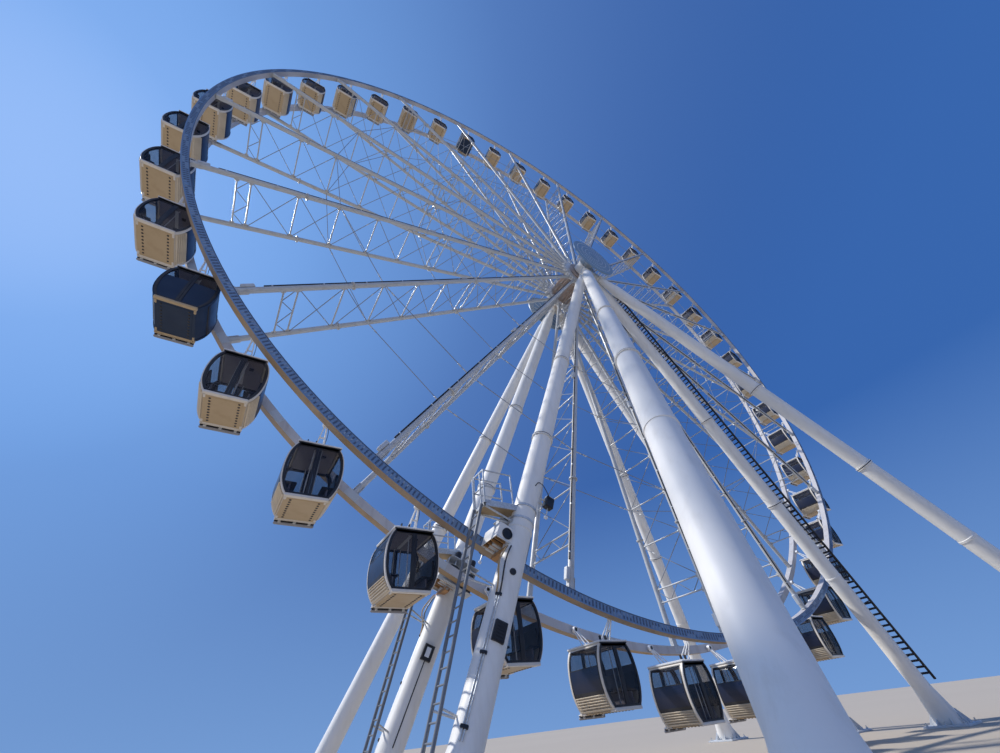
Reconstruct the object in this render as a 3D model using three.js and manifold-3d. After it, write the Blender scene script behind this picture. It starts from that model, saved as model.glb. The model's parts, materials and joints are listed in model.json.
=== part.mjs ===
// Giant observation wheel on eight tubular legs, as a half-size model.
// Every length below is the real one in metres; the model is built in millimetres at half size.
// Frame: +X along the wheel's plane, +Y along the axle towards the back, +Z up,
// origin on the ground straight below the hub.

import * as THREE from "three";
import { mergeVertices } from "three/addons/utils/BufferGeometryUtils.js";
import Module from "manifold-3d";

const wasm = await Module();
wasm.setup();

// Scale of the model
const MODEL_SCALE = 0.5;
const MM_PER_METRE = 1000 * MODEL_SCALE;
const GAP = 0.3 / MM_PER_METRE;
const PIN_GAP = 0.95 / MM_PER_METRE;
const OVERRUN = 0.2;
const GROUND_REACH = 20;

// Wheel
const HUB_HEIGHT = 28.3;
const CABIN_COUNT = 42;
const CABIN_STEP = (2 * Math.PI) / CABIN_COUNT;
const FIRST_PIVOT_ANGLE = THREE.MathUtils.degToRad(93.94);
const PIVOT_RADIUS = 24.87;
const RIM_OUTER_RADIUS = 25.01;
const RIM_DEPTH = 0.29;
const RIM_INNER_FACE_Y = 1.03;
const RIM_OUTER_FACE_Y = 1.34;
const RIM_SEGMENTS = 2 * CABIN_COUNT;

// Spokes, trusses of two chords that meet the rims midway between every second pair of cabins
const SPOKE_COUNT = CABIN_COUNT / 2;
const FIRST_SPOKE_ANGLE = FIRST_PIVOT_ANGLE + CABIN_STEP / 2;
const CHORD_RADIUS = 0.11;
const CHORD_SIDES = 6;
const CHORD_Y = 1.2;
const STRUT_RADIUS = 0.06;
const STRUT_SIDES = 4;
const STRUT_RADII = [5.1, 8.9, 12.7, 16.9, 20.7, 22.65, 23.2];
const TIP_GAP = 2.5 * GAP;
const SPOKE_RING_OUTER_RADIUS = 1.45;
const SPOKE_RING_INNER_RADIUS = 1.05;
const SPOKE_RING_WIDTH = 0.3;

// Hub and end discs
const DRUM_HALF_LENGTH = 1.57;
const AXLE_RADIUS = 0.4;
const AXLE_SIDES = 24;
const DISC_RADIUS = 1.95;
const DISC_FACE_Y = 3.17;
const DISC_THICKNESS = 0.14;
const DISC_COLLAR_RADIUS = 0.62;
const DISC_COLLAR_LENGTH = 0.3;

// Bearing heads, one on each side of the wheel
const HEAD_Y = 1.98;
const HEAD_LENGTH = 0.7;
const HEAD_RADIUS = 0.72;
const BEARING_CLEARANCE = 0.4 / MM_PER_METRE;
const STUB_START = 0.3;
const STUB_LENGTH = 2.4;

// Legs
const INNER_FOOT = { x: 12.45, y: 2.22 };
const OUTER_FOOT = { x: 12.58, y: 9.3 };
const LEG_SIDES = 12;
const LEG_TOP_RADIUS = 0.25;
const LEG_TAPER_LENGTH = 1.2;
const LEG_RADIUS = 0.36;
const LEG_SKIRT_RADIUS = 0.55;
const LEG_COLLAR_RADIUS = 0.41;
const LEG_COLLAR_HALF = 0.06;
const LEG_COLLAR_SHARE = 0.475;
const LEG_SKIRT_LENGTH = 1.5;
const BASE_PLATE_SIZE = 1.7;
const BASE_PLATE_THICKNESS = 0.08;

// Cabins: outline across the wheel's plane, measured from the pivot
const CABIN_OUTLINE = [
  [0.57, -0.66],
  [0.74, -0.98],
  [0.78, -1.66],
  [0.49, -2.28],
];
const NAVY_CABINS = [28, 40];
const CABIN_HALF_LENGTH = 0.77;
const CABIN_WALL = 0.05;
const CABIN_WINDOW = { top: -1.08, bottom: -1.56, halfLength: 0.5 };
const HANGER_HALF_WIDTH = 0.07;
const HANGER_FOOT_Y = [0.32, 0.5];
const HANGER_TOP_Y = 0.94;
const HANGER_PIN_HALF = 0.07;
const HANGER_SHOULDER = 0.08;

// Drive units on the left inner legs
const DRIVE_CARRIER = { width: 1.15, height: 0.9, thickness: 0.5, saddle: 0.1 };
const DRIVE_COVER = { reach: 0.76, overlap: 0.05, low: -0.48, high: -0.03, innerY: 1.5, outerY: 2.38 };
const DRIVE_RADIUS = 24.6;
const TYRE_RADIUS = 0.24;
const TYRE_WIDTH = 0.3;
const TYRE_SPACING = 0.62;
const TYRE_CLEARANCE = 0.012;

// Service platforms and ladders on the left inner legs
const PLATFORM = { length: 1.03, width: 0.64, thickness: 0.08, drop: 21.7, postSetback: 0.12 };
const PLATFORM_INNER_Y = 1.66;
const BRACE_DROP = 0.5;
const RAIL_HEIGHT = 1.1;
const RAIL_RADIUS = 0.03;
const LADDER_OUTER_Y = 2.15;
const LADDER_WIDTH = 0.45;
const LADDER_RAIL_RADIUS = 0.045;
const LADDER_RUNG_RADIUS = 0.024;
const LADDER_RUNG_SPACING = 0.9;
const LADDER_GRAB_HEIGHT = 1;
const LADDER_FOOT_HEIGHT = 1.3;
const LADDER_LEAN = 0.275;
const LADDER_BRACKETS = [0.35, 0.85];

const WHITE_PAINT = new THREE.MeshStandardMaterial({ color: 0xe6e8ea, roughness: 0.45, metalness: 0.1 });
const GREY_PAINT = new THREE.MeshStandardMaterial({ color: 0xb9bfc4, roughness: 0.55, metalness: 0.2 });
const CABIN_CREAM = new THREE.MeshStandardMaterial({ color: 0xd8c7a0, roughness: 0.4, metalness: 0.05 });
const CABIN_NAVY = new THREE.MeshStandardMaterial({ color: 0x14243f, roughness: 0.35, metalness: 0.05 });
const GALVANISED = new THREE.MeshStandardMaterial({ color: 0x9da3a6, roughness: 0.5, metalness: 0.6 });

const AXLE_WAY = new THREE.Vector3(0, 1, 0);
const UP = new THREE.Vector3(0, 0, 1);

function solid(geometry) {
  geometry.deleteAttribute("normal");
  geometry.deleteAttribute("uv");
  const merged = mergeVertices(geometry, 1e-5);
  return new wasm.Manifold(new wasm.Mesh({
    numProp: 3,
    vertProperties: new Float32Array(merged.attributes.position.array),
    triVerts: new Uint32Array(merged.index.array),
  }));
}

function join(solids) {
  return solids.reduce((total, next) => total.add(next));
}

function meshOf(name, body, material) {
  const data = body.getMesh();
  const positions = new Float32Array(data.vertProperties.length);
  for (let i = 0; i < positions.length; i += 1) {
    positions[i] = data.vertProperties[i] * MM_PER_METRE;
  }
  const geometry = new THREE.BufferGeometry();
  geometry.setAttribute("position", new THREE.BufferAttribute(positions, 3));
  geometry.setIndex(new THREE.BufferAttribute(new Uint32Array(data.triVerts), 1));
  geometry.computeVertexNormals();
  const mesh = new THREE.Mesh(geometry, material);
  mesh.name = name;
  return mesh;
}

function box(low, high) {
  const geometry = new THREE.BoxGeometry(high[0] - low[0], high[1] - low[1], high[2] - low[2]);
  geometry.translate((low[0] + high[0]) / 2, (low[1] + high[1]) / 2, (low[2] + high[2]) / 2);
  return solid(geometry);
}

// Bar with flat ends from start to end, one of its flat sides turned towards the given direction
function bar(start, end, radius, sides, facing) {
  const axis = end.clone().sub(start);
  const along = axis.clone().normalize();
  const across = new THREE.Vector3().crossVectors(along, facing).normalize();
  const outward = new THREE.Vector3().crossVectors(across, along);
  const turn = Math.PI / sides;
  const geometry = new THREE.CylinderGeometry(radius, radius, axis.length(), sides, 1, false, turn);
  geometry.translate(0, axis.length() / 2, 0);
  geometry.applyMatrix4(new THREE.Matrix4().makeBasis(across, along, outward));
  geometry.translate(start.x, start.y, start.z);
  return solid(geometry);
}

function turnFromY(direction) {
  const unit = direction.clone().normalize();
  return new THREE.Quaternion().setFromUnitVectors(new THREE.Vector3(0, 1, 0), unit);
}

// Solid of revolution about Y from a closed profile of [radius, y] points
function turned(profile, sides, startAngle = 0) {
  const points = profile.map(([radius, y]) => new THREE.Vector2(radius, y));
  const geometry = new THREE.LatheGeometry(points, sides, startAngle);
  return solid(geometry);
}

function ring(innerRadius, outerRadius, lowY, highY, sides, startAngle = 0) {
  const profile = [
    [innerRadius, lowY],
    [outerRadius, lowY],
    [outerRadius, highY],
    [innerRadius, highY],
    [innerRadius, lowY],
  ];
  return turned(profile, sides, startAngle);
}

function disc(radius, lowY, highY, sides, startAngle = 0) {
  return turned([[0, lowY], [radius, lowY], [radius, highY], [0, highY]], sides, startAngle);
}

// Prism of a closed outline in X and Z, from lowY to highY
function prism(outline, lowY, highY) {
  const shape = new THREE.Shape(outline.map(([x, z]) => new THREE.Vector2(x, z)));
  const geometry = new THREE.ExtrudeGeometry(shape, { depth: highY - lowY, bevelEnabled: false });
  geometry.rotateX(Math.PI / 2);
  geometry.translate(0, highY, 0);
  return solid(geometry);
}

// Prism of a closed outline in Y and Z, from lowX to highX
function crossPrism(outline, lowX, highX) {
  const shape = new THREE.Shape(outline.map(([y, z]) => new THREE.Vector2(y, z)));
  const geometry = new THREE.ExtrudeGeometry(shape, { depth: highX - lowX, bevelEnabled: false });
  geometry.rotateX(Math.PI / 2);
  geometry.rotateZ(Math.PI / 2);
  geometry.translate(lowX, 0, 0);
  return solid(geometry);
}

// Angle, from +X towards +Z, of a cabin's pivot about the hub
function pivotAngle(index) {
  return FIRST_PIVOT_ANGLE - index * CABIN_STEP;
}

function onWheel(angle, radius, y) {
  return new THREE.Vector3(radius * Math.cos(angle), y, HUB_HEIGHT + radius * Math.sin(angle));
}

function spokeAngle(index) {
  return FIRST_SPOKE_ANGLE - (2 * Math.PI * index) / SPOKE_COUNT;
}

// Start angle that puts a flat of a turned ring on the first spoke
function flatStart(sides) {
  return Math.PI / 2 - FIRST_SPOKE_ANGLE + Math.PI / sides;
}

function rim(side) {
  const inner = RIM_OUTER_RADIUS - RIM_DEPTH;
  const lowY = side < 0 ? -RIM_OUTER_FACE_Y : RIM_INNER_FACE_Y;
  const highY = side < 0 ? -RIM_INNER_FACE_Y : RIM_OUTER_FACE_Y;
  const start = flatStart(RIM_SEGMENTS);
  return ring(inner, RIM_OUTER_RADIUS, lowY, highY, RIM_SEGMENTS, start).translate([0, 0, HUB_HEIGHT]);
}

function spokeRing(side) {
  const lowY = side * CHORD_Y - SPOKE_RING_WIDTH / 2;
  const highY = side * CHORD_Y + SPOKE_RING_WIDTH / 2;
  return ring(
    SPOKE_RING_INNER_RADIUS, SPOKE_RING_OUTER_RADIUS, lowY, highY, SPOKE_COUNT, flatStart(SPOKE_COUNT),
  ).translate([0, 0, HUB_HEIGHT]);
}

function spokes() {
  const rimFlat = (RIM_OUTER_RADIUS - RIM_DEPTH) * Math.cos(Math.PI / RIM_SEGMENTS);
  const tipRadius = rimFlat - TIP_GAP;
  const pieces = [spokeRing(-1), spokeRing(1)];
  for (let i = 0; i < SPOKE_COUNT; i += 1) {
    const angle = spokeAngle(i);
    const radial = onWheel(angle, 1, 0).sub(onWheel(angle, 0, 0));
    for (const y of [-CHORD_Y, CHORD_Y]) {
      const start = onWheel(angle, SPOKE_RING_OUTER_RADIUS - OVERRUN, y);
      pieces.push(bar(start, onWheel(angle, tipRadius, y), CHORD_RADIUS, CHORD_SIDES, AXLE_WAY));
    }
    for (const radius of STRUT_RADII) {
      const front = onWheel(angle, radius, -CHORD_Y);
      pieces.push(bar(front, onWheel(angle, radius, CHORD_Y), STRUT_RADIUS, STRUT_SIDES, radial));
    }
  }
  return join(pieces);
}

function hub() {
  const collarStart = DISC_FACE_Y - DISC_THICKNESS - DISC_COLLAR_LENGTH;
  const drumRadius = SPOKE_RING_INNER_RADIUS - GAP;
  const axleEnd = DISC_FACE_Y - DISC_THICKNESS / 2;
  const pieces = [
    disc(drumRadius, -DRUM_HALF_LENGTH, DRUM_HALF_LENGTH, SPOKE_COUNT, flatStart(SPOKE_COUNT)),
    disc(AXLE_RADIUS, -axleEnd, axleEnd, AXLE_SIDES, Math.PI / AXLE_SIDES),
  ];
  for (const side of [-1, 1]) {
    const faces = [side * collarStart, side * (DISC_FACE_Y - DISC_THICKNESS)].sort((a, b) => a - b);
    const plate = [side * (DISC_FACE_Y - DISC_THICKNESS), side * DISC_FACE_Y].sort((a, b) => a - b);
    pieces.push(disc(DISC_COLLAR_RADIUS, faces[0], faces[1] + (side < 0 ? -GAP : GAP), AXLE_SIDES));
    pieces.push(disc(DISC_RADIUS, plate[0], plate[1], 2 * AXLE_SIDES));
  }
  return join(pieces).translate([0, 0, HUB_HEIGHT]);
}

// Centre line of a leg, from the axle down to the ground
function legLine(xSide, ySide, foot) {
  const top = new THREE.Vector3(0, ySide * HEAD_Y, HUB_HEIGHT);
  const bottom = new THREE.Vector3(xSide * foot.x, ySide * foot.y, 0);
  return { top, bottom, axis: bottom.clone().sub(top).normalize(), length: bottom.distanceTo(top) };
}

function alongLeg(line, distance) {
  return line.top.clone().addScaledVector(line.axis, distance);
}

// Turned piece laid along a leg's centre line, its profile given as [radius, distance from the axle]
function onLeg(line, profile) {
  const geometry = new THREE.LatheGeometry(profile.map(([r, d]) => new THREE.Vector2(r, d)), LEG_SIDES);
  geometry.applyQuaternion(turnFromY(line.axis));
  geometry.translate(line.top.x, line.top.y, line.top.z);
  return solid(geometry);
}

function legProfile(length) {
  const start = STUB_LENGTH + GAP;
  const collar = length * LEG_COLLAR_SHARE;
  const skirt = length - LEG_SKIRT_LENGTH;
  return [
    [0, start],
    [LEG_TOP_RADIUS, start],
    [LEG_RADIUS, start + LEG_TAPER_LENGTH],
    [LEG_RADIUS, collar - LEG_COLLAR_HALF],
    [LEG_COLLAR_RADIUS, collar - LEG_COLLAR_HALF],
    [LEG_COLLAR_RADIUS, collar + LEG_COLLAR_HALF],
    [LEG_RADIUS, collar + LEG_COLLAR_HALF],
    [LEG_RADIUS, skirt],
    [LEG_SKIRT_RADIUS, length + OVERRUN],
    [0, length + OVERRUN],
  ];
}

function underground() {
  return box([-GROUND_REACH, -GROUND_REACH, -GROUND_REACH], [GROUND_REACH, GROUND_REACH, 0]);
}

function leg(xSide, ySide, foot) {
  const line = legLine(xSide, ySide, foot);
  const half = BASE_PLATE_SIZE / 2;
  const plate = box(
    [line.bottom.x - half, line.bottom.y - half, 0],
    [line.bottom.x + half, line.bottom.y + half, BASE_PLATE_THICKNESS],
  );
  return onLeg(line, legProfile(line.length)).subtract(underground()).add(plate);
}

function bearingHead(ySide) {
  const lowY = ySide * HEAD_Y - HEAD_LENGTH / 2;
  const highY = ySide * HEAD_Y + HEAD_LENGTH / 2;
  const barrel = disc(HEAD_RADIUS, lowY, highY, AXLE_SIDES).translate([0, 0, HUB_HEIGHT]);
  const stubProfile = [
    [0, STUB_START],
    [LEG_TOP_RADIUS, STUB_START],
    [LEG_TOP_RADIUS, STUB_LENGTH],
    [0, STUB_LENGTH],
  ];
  const stubs = [];
  for (const xSide of [-1, 1]) {
    stubs.push(onLeg(legLine(xSide, ySide, INNER_FOOT), stubProfile));
    stubs.push(onLeg(legLine(xSide, ySide, OUTER_FOOT), stubProfile));
  }
  const boreRadius = (AXLE_RADIUS + BEARING_CLEARANCE) / Math.cos(Math.PI / AXLE_SIDES);
  const bore = disc(boreRadius, lowY - OVERRUN, highY + OVERRUN, AXLE_SIDES).translate([0, 0, HUB_HEIGHT]);
  return join([barrel, ...stubs]).subtract(bore);
}

// Full outline of a cabin from its right half, inset by a wall thickness
function cabinOutline(inset) {
  const right = CABIN_OUTLINE.map(([x, z], i) => {
    const lift = i === 0 ? -inset : i === CABIN_OUTLINE.length - 1 ? inset : 0;
    return [x - inset, z + lift];
  });
  const left = right.map(([x, z]) => [-x, z]).reverse();
  return [...right, ...left];
}

function cabinHanger(ySide) {
  const pinEnd = RIM_INNER_FACE_Y - PIN_GAP;
  const outline = [
    [HANGER_FOOT_Y[0], CABIN_OUTLINE[0][1] - CABIN_WALL / 2],
    [HANGER_FOOT_Y[1], CABIN_OUTLINE[0][1] - CABIN_WALL / 2],
    [HANGER_TOP_Y, -HANGER_PIN_HALF],
    [pinEnd, -HANGER_PIN_HALF],
    [pinEnd, HANGER_PIN_HALF],
    [HANGER_TOP_Y - HANGER_SHOULDER, HANGER_PIN_HALF],
  ].map(([y, z]) => [ySide * y, z]);
  return crossPrism(outline, -HANGER_HALF_WIDTH, HANGER_HALF_WIDTH);
}

function cabinBody() {
  const shell = prism(cabinOutline(0), -CABIN_HALF_LENGTH, CABIN_HALF_LENGTH);
  const room = prism(cabinOutline(CABIN_WALL), -CABIN_HALF_LENGTH - OVERRUN, CABIN_HALF_LENGTH + OVERRUN);
  const window = box(
    [-1, -CABIN_WINDOW.halfLength, CABIN_WINDOW.bottom],
    [1, CABIN_WINDOW.halfLength, CABIN_WINDOW.top],
  );
  return join([shell.subtract(room).subtract(window), cabinHanger(-1), cabinHanger(1)]);
}

// Piece placed on a left inner leg where it passes the rim, leaning with the leg
function driveUnit(ySide) {
  const line = legLine(-1, ySide, INNER_FOOT);
  const lean = Math.atan2(-line.axis.x, -line.axis.z);
  const place = alongLeg(line, DRIVE_RADIUS);
  const tyreY = RIM_OUTER_FACE_Y + TYRE_CLEARANCE + TYRE_RADIUS;
  const pieces = [driveCarrier(ySide, Math.abs(place.y)), driveCover(ySide)];
  for (const shift of [-TYRE_SPACING / 2, TYRE_SPACING / 2]) {
    const start = new THREE.Vector3(shift, ySide * tyreY, -TYRE_WIDTH / 2);
    const end = new THREE.Vector3(shift, ySide * tyreY, TYRE_WIDTH / 2);
    pieces.push(bar(start, end, TYRE_RADIUS, LEG_SIDES, AXLE_WAY));
  }
  const leanDegrees = THREE.MathUtils.radToDeg(lean);
  const placed = join(pieces).rotate([0, leanDegrees, 0]).translate([place.x, 0, place.z]);
  return placed.subtract(legClearance(line));
}

// The lower tube of a leg grown by the gap that pieces seated on it keep
function legClearance(line) {
  const radius = LEG_RADIUS + GAP / Math.cos(Math.PI / LEG_SIDES);
  const half = line.length / 2;
  return onLeg(line, [[0, half], [radius, half], [radius, line.length], [0, line.length]]);
}

// Box on one side of the wheel, its Y range given from the middle outwards
function sideBox(ySide, lowX, highX, innerY, outerY, lowZ, highZ) {
  const faces = [ySide * innerY, ySide * outerY].sort((a, b) => a - b);
  return box([lowX, faces[0], lowZ], [highX, faces[1], highZ]);
}

function driveCarrier(ySide, legY) {
  const outerY = legY - LEG_RADIUS + DRIVE_CARRIER.saddle;
  const halfWidth = DRIVE_CARRIER.width / 2;
  const halfHeight = DRIVE_CARRIER.height / 2;
  const innerY = outerY - DRIVE_CARRIER.thickness;
  return sideBox(ySide, -halfWidth, halfWidth, innerY, outerY, -halfHeight, halfHeight);
}

function driveCover(ySide) {
  const { reach, overlap, low, high, innerY, outerY } = DRIVE_COVER;
  return sideBox(ySide, -reach, overlap, innerY, outerY, low, high);
}

function servicePlatform(ySide) {
  const line = legLine(-1, ySide, INNER_FOOT);
  const place = alongLeg(line, PLATFORM.drop / -line.axis.z);
  const outerX = place.x - LEG_RADIUS - PLATFORM.postSetback;
  const innerX = outerX - PLATFORM.length;
  const floorZ = place.z;
  const farY = PLATFORM_INNER_Y + PLATFORM.width;
  const deck = sideBox(ySide, innerX, place.x, PLATFORM_INNER_Y, farY, floorZ - PLATFORM.thickness, floorZ);
  const pieces = [deck, ...railing(ySide, innerX, outerX, floorZ)];
  for (const y of [PLATFORM_INNER_Y + RAIL_RADIUS, farY - RAIL_RADIUS]) {
    const start = new THREE.Vector3(innerX + RAIL_RADIUS, ySide * y, floorZ - PLATFORM.thickness / 2);
    const end = alongLeg(line, (PLATFORM.drop + BRACE_DROP) / -line.axis.z);
    pieces.push(bar(start, end, RAIL_RADIUS, STRUT_SIDES, AXLE_WAY));
  }
  const top = new THREE.Vector3(innerX, ySide * LADDER_OUTER_Y, floorZ);
  return join([...pieces, ...ladder(ySide, line, top)]).subtract(legClearance(line));
}

// Posts and rails round three sides of a platform
function railing(ySide, innerX, outerX, floorZ) {
  const nearY = PLATFORM_INNER_Y + RAIL_RADIUS;
  const farY = PLATFORM_INNER_Y + PLATFORM.width - RAIL_RADIUS;
  const corners = [
    [outerX, nearY],
    [innerX + RAIL_RADIUS, nearY],
    [innerX + RAIL_RADIUS, farY],
    [outerX, farY],
  ].map(([x, y]) => new THREE.Vector3(x, ySide * y, floorZ));
  const up = (point, height) => point.clone().setZ(floorZ + height);
  const pieces = corners.map((corner) => {
    const start = up(corner, -PLATFORM.thickness / 2);
    return bar(start, up(corner, RAIL_HEIGHT), RAIL_RADIUS, STRUT_SIDES, AXLE_WAY);
  });
  for (const height of [RAIL_HEIGHT / 2, RAIL_HEIGHT - RAIL_RADIUS]) {
    for (let i = 0; i < corners.length - 1; i += 1) {
      pieces.push(bar(up(corners[i], height), up(corners[i + 1], height), RAIL_RADIUS, STRUT_SIDES, UP));
    }
  }
  return pieces;
}

// Ladder on a platform's end, its rungs along Y, held off the leg by brackets
function ladder(ySide, line, top) {
  const drop = top.z - LADDER_FOOT_HEIGHT;
  const slope = new THREE.Vector3(-LADDER_LEAN * drop, 0, -drop);
  const sides = [0, LADDER_WIDTH].map((inset) => top.clone().addScaledVector(AXLE_WAY, -ySide * inset));
  const pieces = [];
  for (const start of sides) {
    const foot = start.clone().add(slope);
    const grab = [top.z - OVERRUN, top.z + LADDER_GRAB_HEIGHT].map((z) => start.clone().setZ(z));
    pieces.push(bar(grab[0], grab[1], RAIL_RADIUS, STRUT_SIDES, AXLE_WAY));
    pieces.push(bar(start, foot, LADDER_RAIL_RADIUS, STRUT_SIDES, AXLE_WAY));
    for (const share of LADDER_BRACKETS) {
      const place = start.clone().lerp(foot, share);
      const onAxis = alongLeg(line, place.clone().sub(line.top).dot(line.axis));
      pieces.push(bar(place, onAxis, RAIL_RADIUS, STRUT_SIDES, AXLE_WAY));
    }
  }
  const count = Math.floor(slope.length() / LADDER_RUNG_SPACING);
  for (let i = 1; i < count; i += 1) {
    const ends = sides.map((start) => start.clone().addScaledVector(slope, i / count));
    pieces.push(bar(ends[0], ends[1], LADDER_RUNG_RADIUS, STRUT_SIDES, UP));
  }
  return pieces;
}

const wheel = new THREE.Group();

const stand = new THREE.Group();
for (const [ySide, face] of [[-1, "front"], [1, "back"]]) {
  for (const [xSide, hand] of [[-1, "left"], [1, "right"]]) {
    stand.add(meshOf(`leg_${face}_inner_${hand}`, leg(xSide, ySide, INNER_FOOT), WHITE_PAINT));
    stand.add(meshOf(`leg_${face}_outer_${hand}`, leg(xSide, ySide, OUTER_FOOT), WHITE_PAINT));
  }
  stand.add(meshOf(`bearing_head_${face}`, bearingHead(ySide), WHITE_PAINT));
  stand.add(meshOf(`drive_unit_${face}`, driveUnit(ySide), GREY_PAINT));
  stand.add(meshOf(`service_platform_${face}`, servicePlatform(ySide), GALVANISED));
}
wheel.add(stand);

const rotor = new THREE.Group();
rotor.add(meshOf("rim_front", rim(-1), WHITE_PAINT));
rotor.add(meshOf("rim_back", rim(1), WHITE_PAINT));
rotor.add(meshOf("spokes", spokes(), WHITE_PAINT));
rotor.add(meshOf("hub", hub(), WHITE_PAINT));
wheel.add(rotor);

const cabinSolid = cabinBody();
for (let i = 0; i < CABIN_COUNT; i += 1) {
  const name = `cabin_${String(i + 1).padStart(2, "0")}`;
  const cabin = meshOf(name, cabinSolid, NAVY_CABINS.includes(i) ? CABIN_NAVY : CABIN_CREAM);
  const pivot = onWheel(pivotAngle(i), PIVOT_RADIUS, 0).multiplyScalar(MM_PER_METRE);
  cabin.position.copy(pivot);
  rotor.add(cabin);
}

export default wheel;
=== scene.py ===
import json
import math

import bmesh
import bpy
import numpy as np
from mathutils import Euler, Matrix, Vector


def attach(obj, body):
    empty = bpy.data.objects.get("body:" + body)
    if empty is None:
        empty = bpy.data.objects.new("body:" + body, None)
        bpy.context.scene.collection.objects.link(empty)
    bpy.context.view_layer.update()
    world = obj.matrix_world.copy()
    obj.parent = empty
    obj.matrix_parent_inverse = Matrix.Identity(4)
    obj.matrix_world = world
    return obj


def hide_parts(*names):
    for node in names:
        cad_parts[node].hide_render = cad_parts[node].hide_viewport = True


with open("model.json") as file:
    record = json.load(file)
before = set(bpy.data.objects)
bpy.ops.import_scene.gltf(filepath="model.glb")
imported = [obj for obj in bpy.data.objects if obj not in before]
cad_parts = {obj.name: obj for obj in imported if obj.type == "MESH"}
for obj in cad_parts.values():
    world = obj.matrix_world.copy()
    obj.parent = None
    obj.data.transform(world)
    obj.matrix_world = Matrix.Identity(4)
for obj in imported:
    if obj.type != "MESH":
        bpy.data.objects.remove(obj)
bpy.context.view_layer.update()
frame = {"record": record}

# Every length below is the real one in metres, with its origin on the ground below the hub.
# The model is half that size.
MODEL_SCALE = frame["record"]["size"]["model_scale_k"]

# Wheel
HUB_HEIGHT = 28.3
CABIN_COUNT = 42
CABIN_STEP = 2 * math.pi / CABIN_COUNT
FIRST_PIVOT_ANGLE = math.radians(93.94)
PIVOT_RADIUS = 24.87
RIM_OUTER_RADIUS = 25.0
RIM_INNER_RADIUS = 24.715
RIM_INNER_Y = 1.03
RIM_OUTER_Y = 1.34
RIM_SEGMENTS = 252
RIM_LIP = 0.026
RIM_RECESS = 0.012
RIM_EDGE_TONES = [4, 5, 5, 0, 0, 0, 1, 4]
SPLICE_SIZE = (0.5, 0.26, 0.016)
SPLICE_BOLTS_ALONG = [-0.19, -0.09, 0.09, 0.19]
SPLICE_BOLTS_OUT = [-0.08, 0.08]
LIGHTS_PER_CABIN = 26
LIGHT_SIZE = (0.05, 0.085, 0.014)
LIGHT_INSET = 0.095
LIGHT_SINK = 0.006
PIVOT_ANGLES = [FIRST_PIVOT_ANGLE - k * CABIN_STEP for k in range(CABIN_COUNT)]

# Spoke trusses
TRUSS_COUNT = CABIN_COUNT // 2
FIRST_TRUSS_ANGLE = FIRST_PIVOT_ANGLE + CABIN_STEP / 2
CHORD_Y = 1.2
CHORD_RADIUS = 0.11
CHORD_ROOT = 1.4
CHORD_TIP = 24.7
STRUT_RADIUS = 0.032
STRUT_PLACES = [3.2, 5.1, 7.0, 8.9, 10.8, 12.45, 13.0, 14.95, 16.87, 18.85, 20.72, 22.6, 23.12]
CLOSE_PAIRS = [(12.45, 13.0), (22.6, 23.12)]
CHORD_JOINT_PLACES = [12.725, 20.37]
ROD_RADIUS = 0.017
ROD_END_GAP = 0.08
ROD_LIFT = 0.022
ZIGZAG_BARS = 4
LIGHT_RAIL_SPAN = (2.0, 23.77)
LIGHT_RAIL_CLIP_START = 2.6
LIGHT_RAIL_CLIP_SPACING = 1.9
CABLE_BOX_PLACES = [24.25, 13.55]
TRUSS_ANGLES = [FIRST_TRUSS_ANGLE - 2 * k * CABIN_STEP for k in range(TRUSS_COUNT)]
TIE_PLACES = [12.75, 18.85]
TIE_RADIUS = 0.018

# Hub, bearing heads and end discs
DRUM_RADIUS = 1.05
DRUM_HALF_LENGTH = 1.57
DRUM_WAIST_RADIUS = 0.86
SPOKE_RING_RADIUS = 1.45
SPOKE_RING_BORE = 0.84
SPOKE_RING_HALF_WIDTH = 0.15
SPOKE_RING_EDGE = 0.04
AXLE_RADIUS = 0.4
HEAD_Y = 1.98
HEAD_LENGTH = 0.7
HEAD_RADIUS = 0.72
DISC_RADIUS = 1.95
DISC_FACE_Y = 3.17
DISC_THICKNESS = 0.14
DISC_RIB_COUNT = 48
DISC_ARM_COUNT = 12
DISC_STEP_RADIUS = 1.3
DISC_STEP_DEPTH = 0.026
LAMP_RINGS = [(0.5, 18), (0.85, 30), (1.2, 42), (1.62, 60)]

# Legs
INNER_FOOT = (12.45, 2.22)
OUTER_FOOT = (12.58, 9.3)
LEG_TOP = 1.9
LEG_TOP_RADIUS = 0.21
LEG_TAPER_END = 3.6
LEG_RADIUS = 0.36
LEG_JOINT_SHARES = [0.475, 0.659]
LEG_JOINT_HALF = 0.06
LEG_JOINT_GAP_HALF = 0.02
LEG_JOINT_LIFT = 0.045
LEG_COLLAR_SHARE = 0.79
LEG_SKIRT_RADIUS = 0.55
LEG_SKIRT_LENGTH = 1.5
LEG_SIDES = 48
BASE_PLATE_SIZE = 1.7
BASE_PLATE_THICKNESS = 0.08
ANCHOR_REACH = 0.7
GUSSET_COUNT = 8
STUB_COLLAR_PLACE = 1.72

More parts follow.
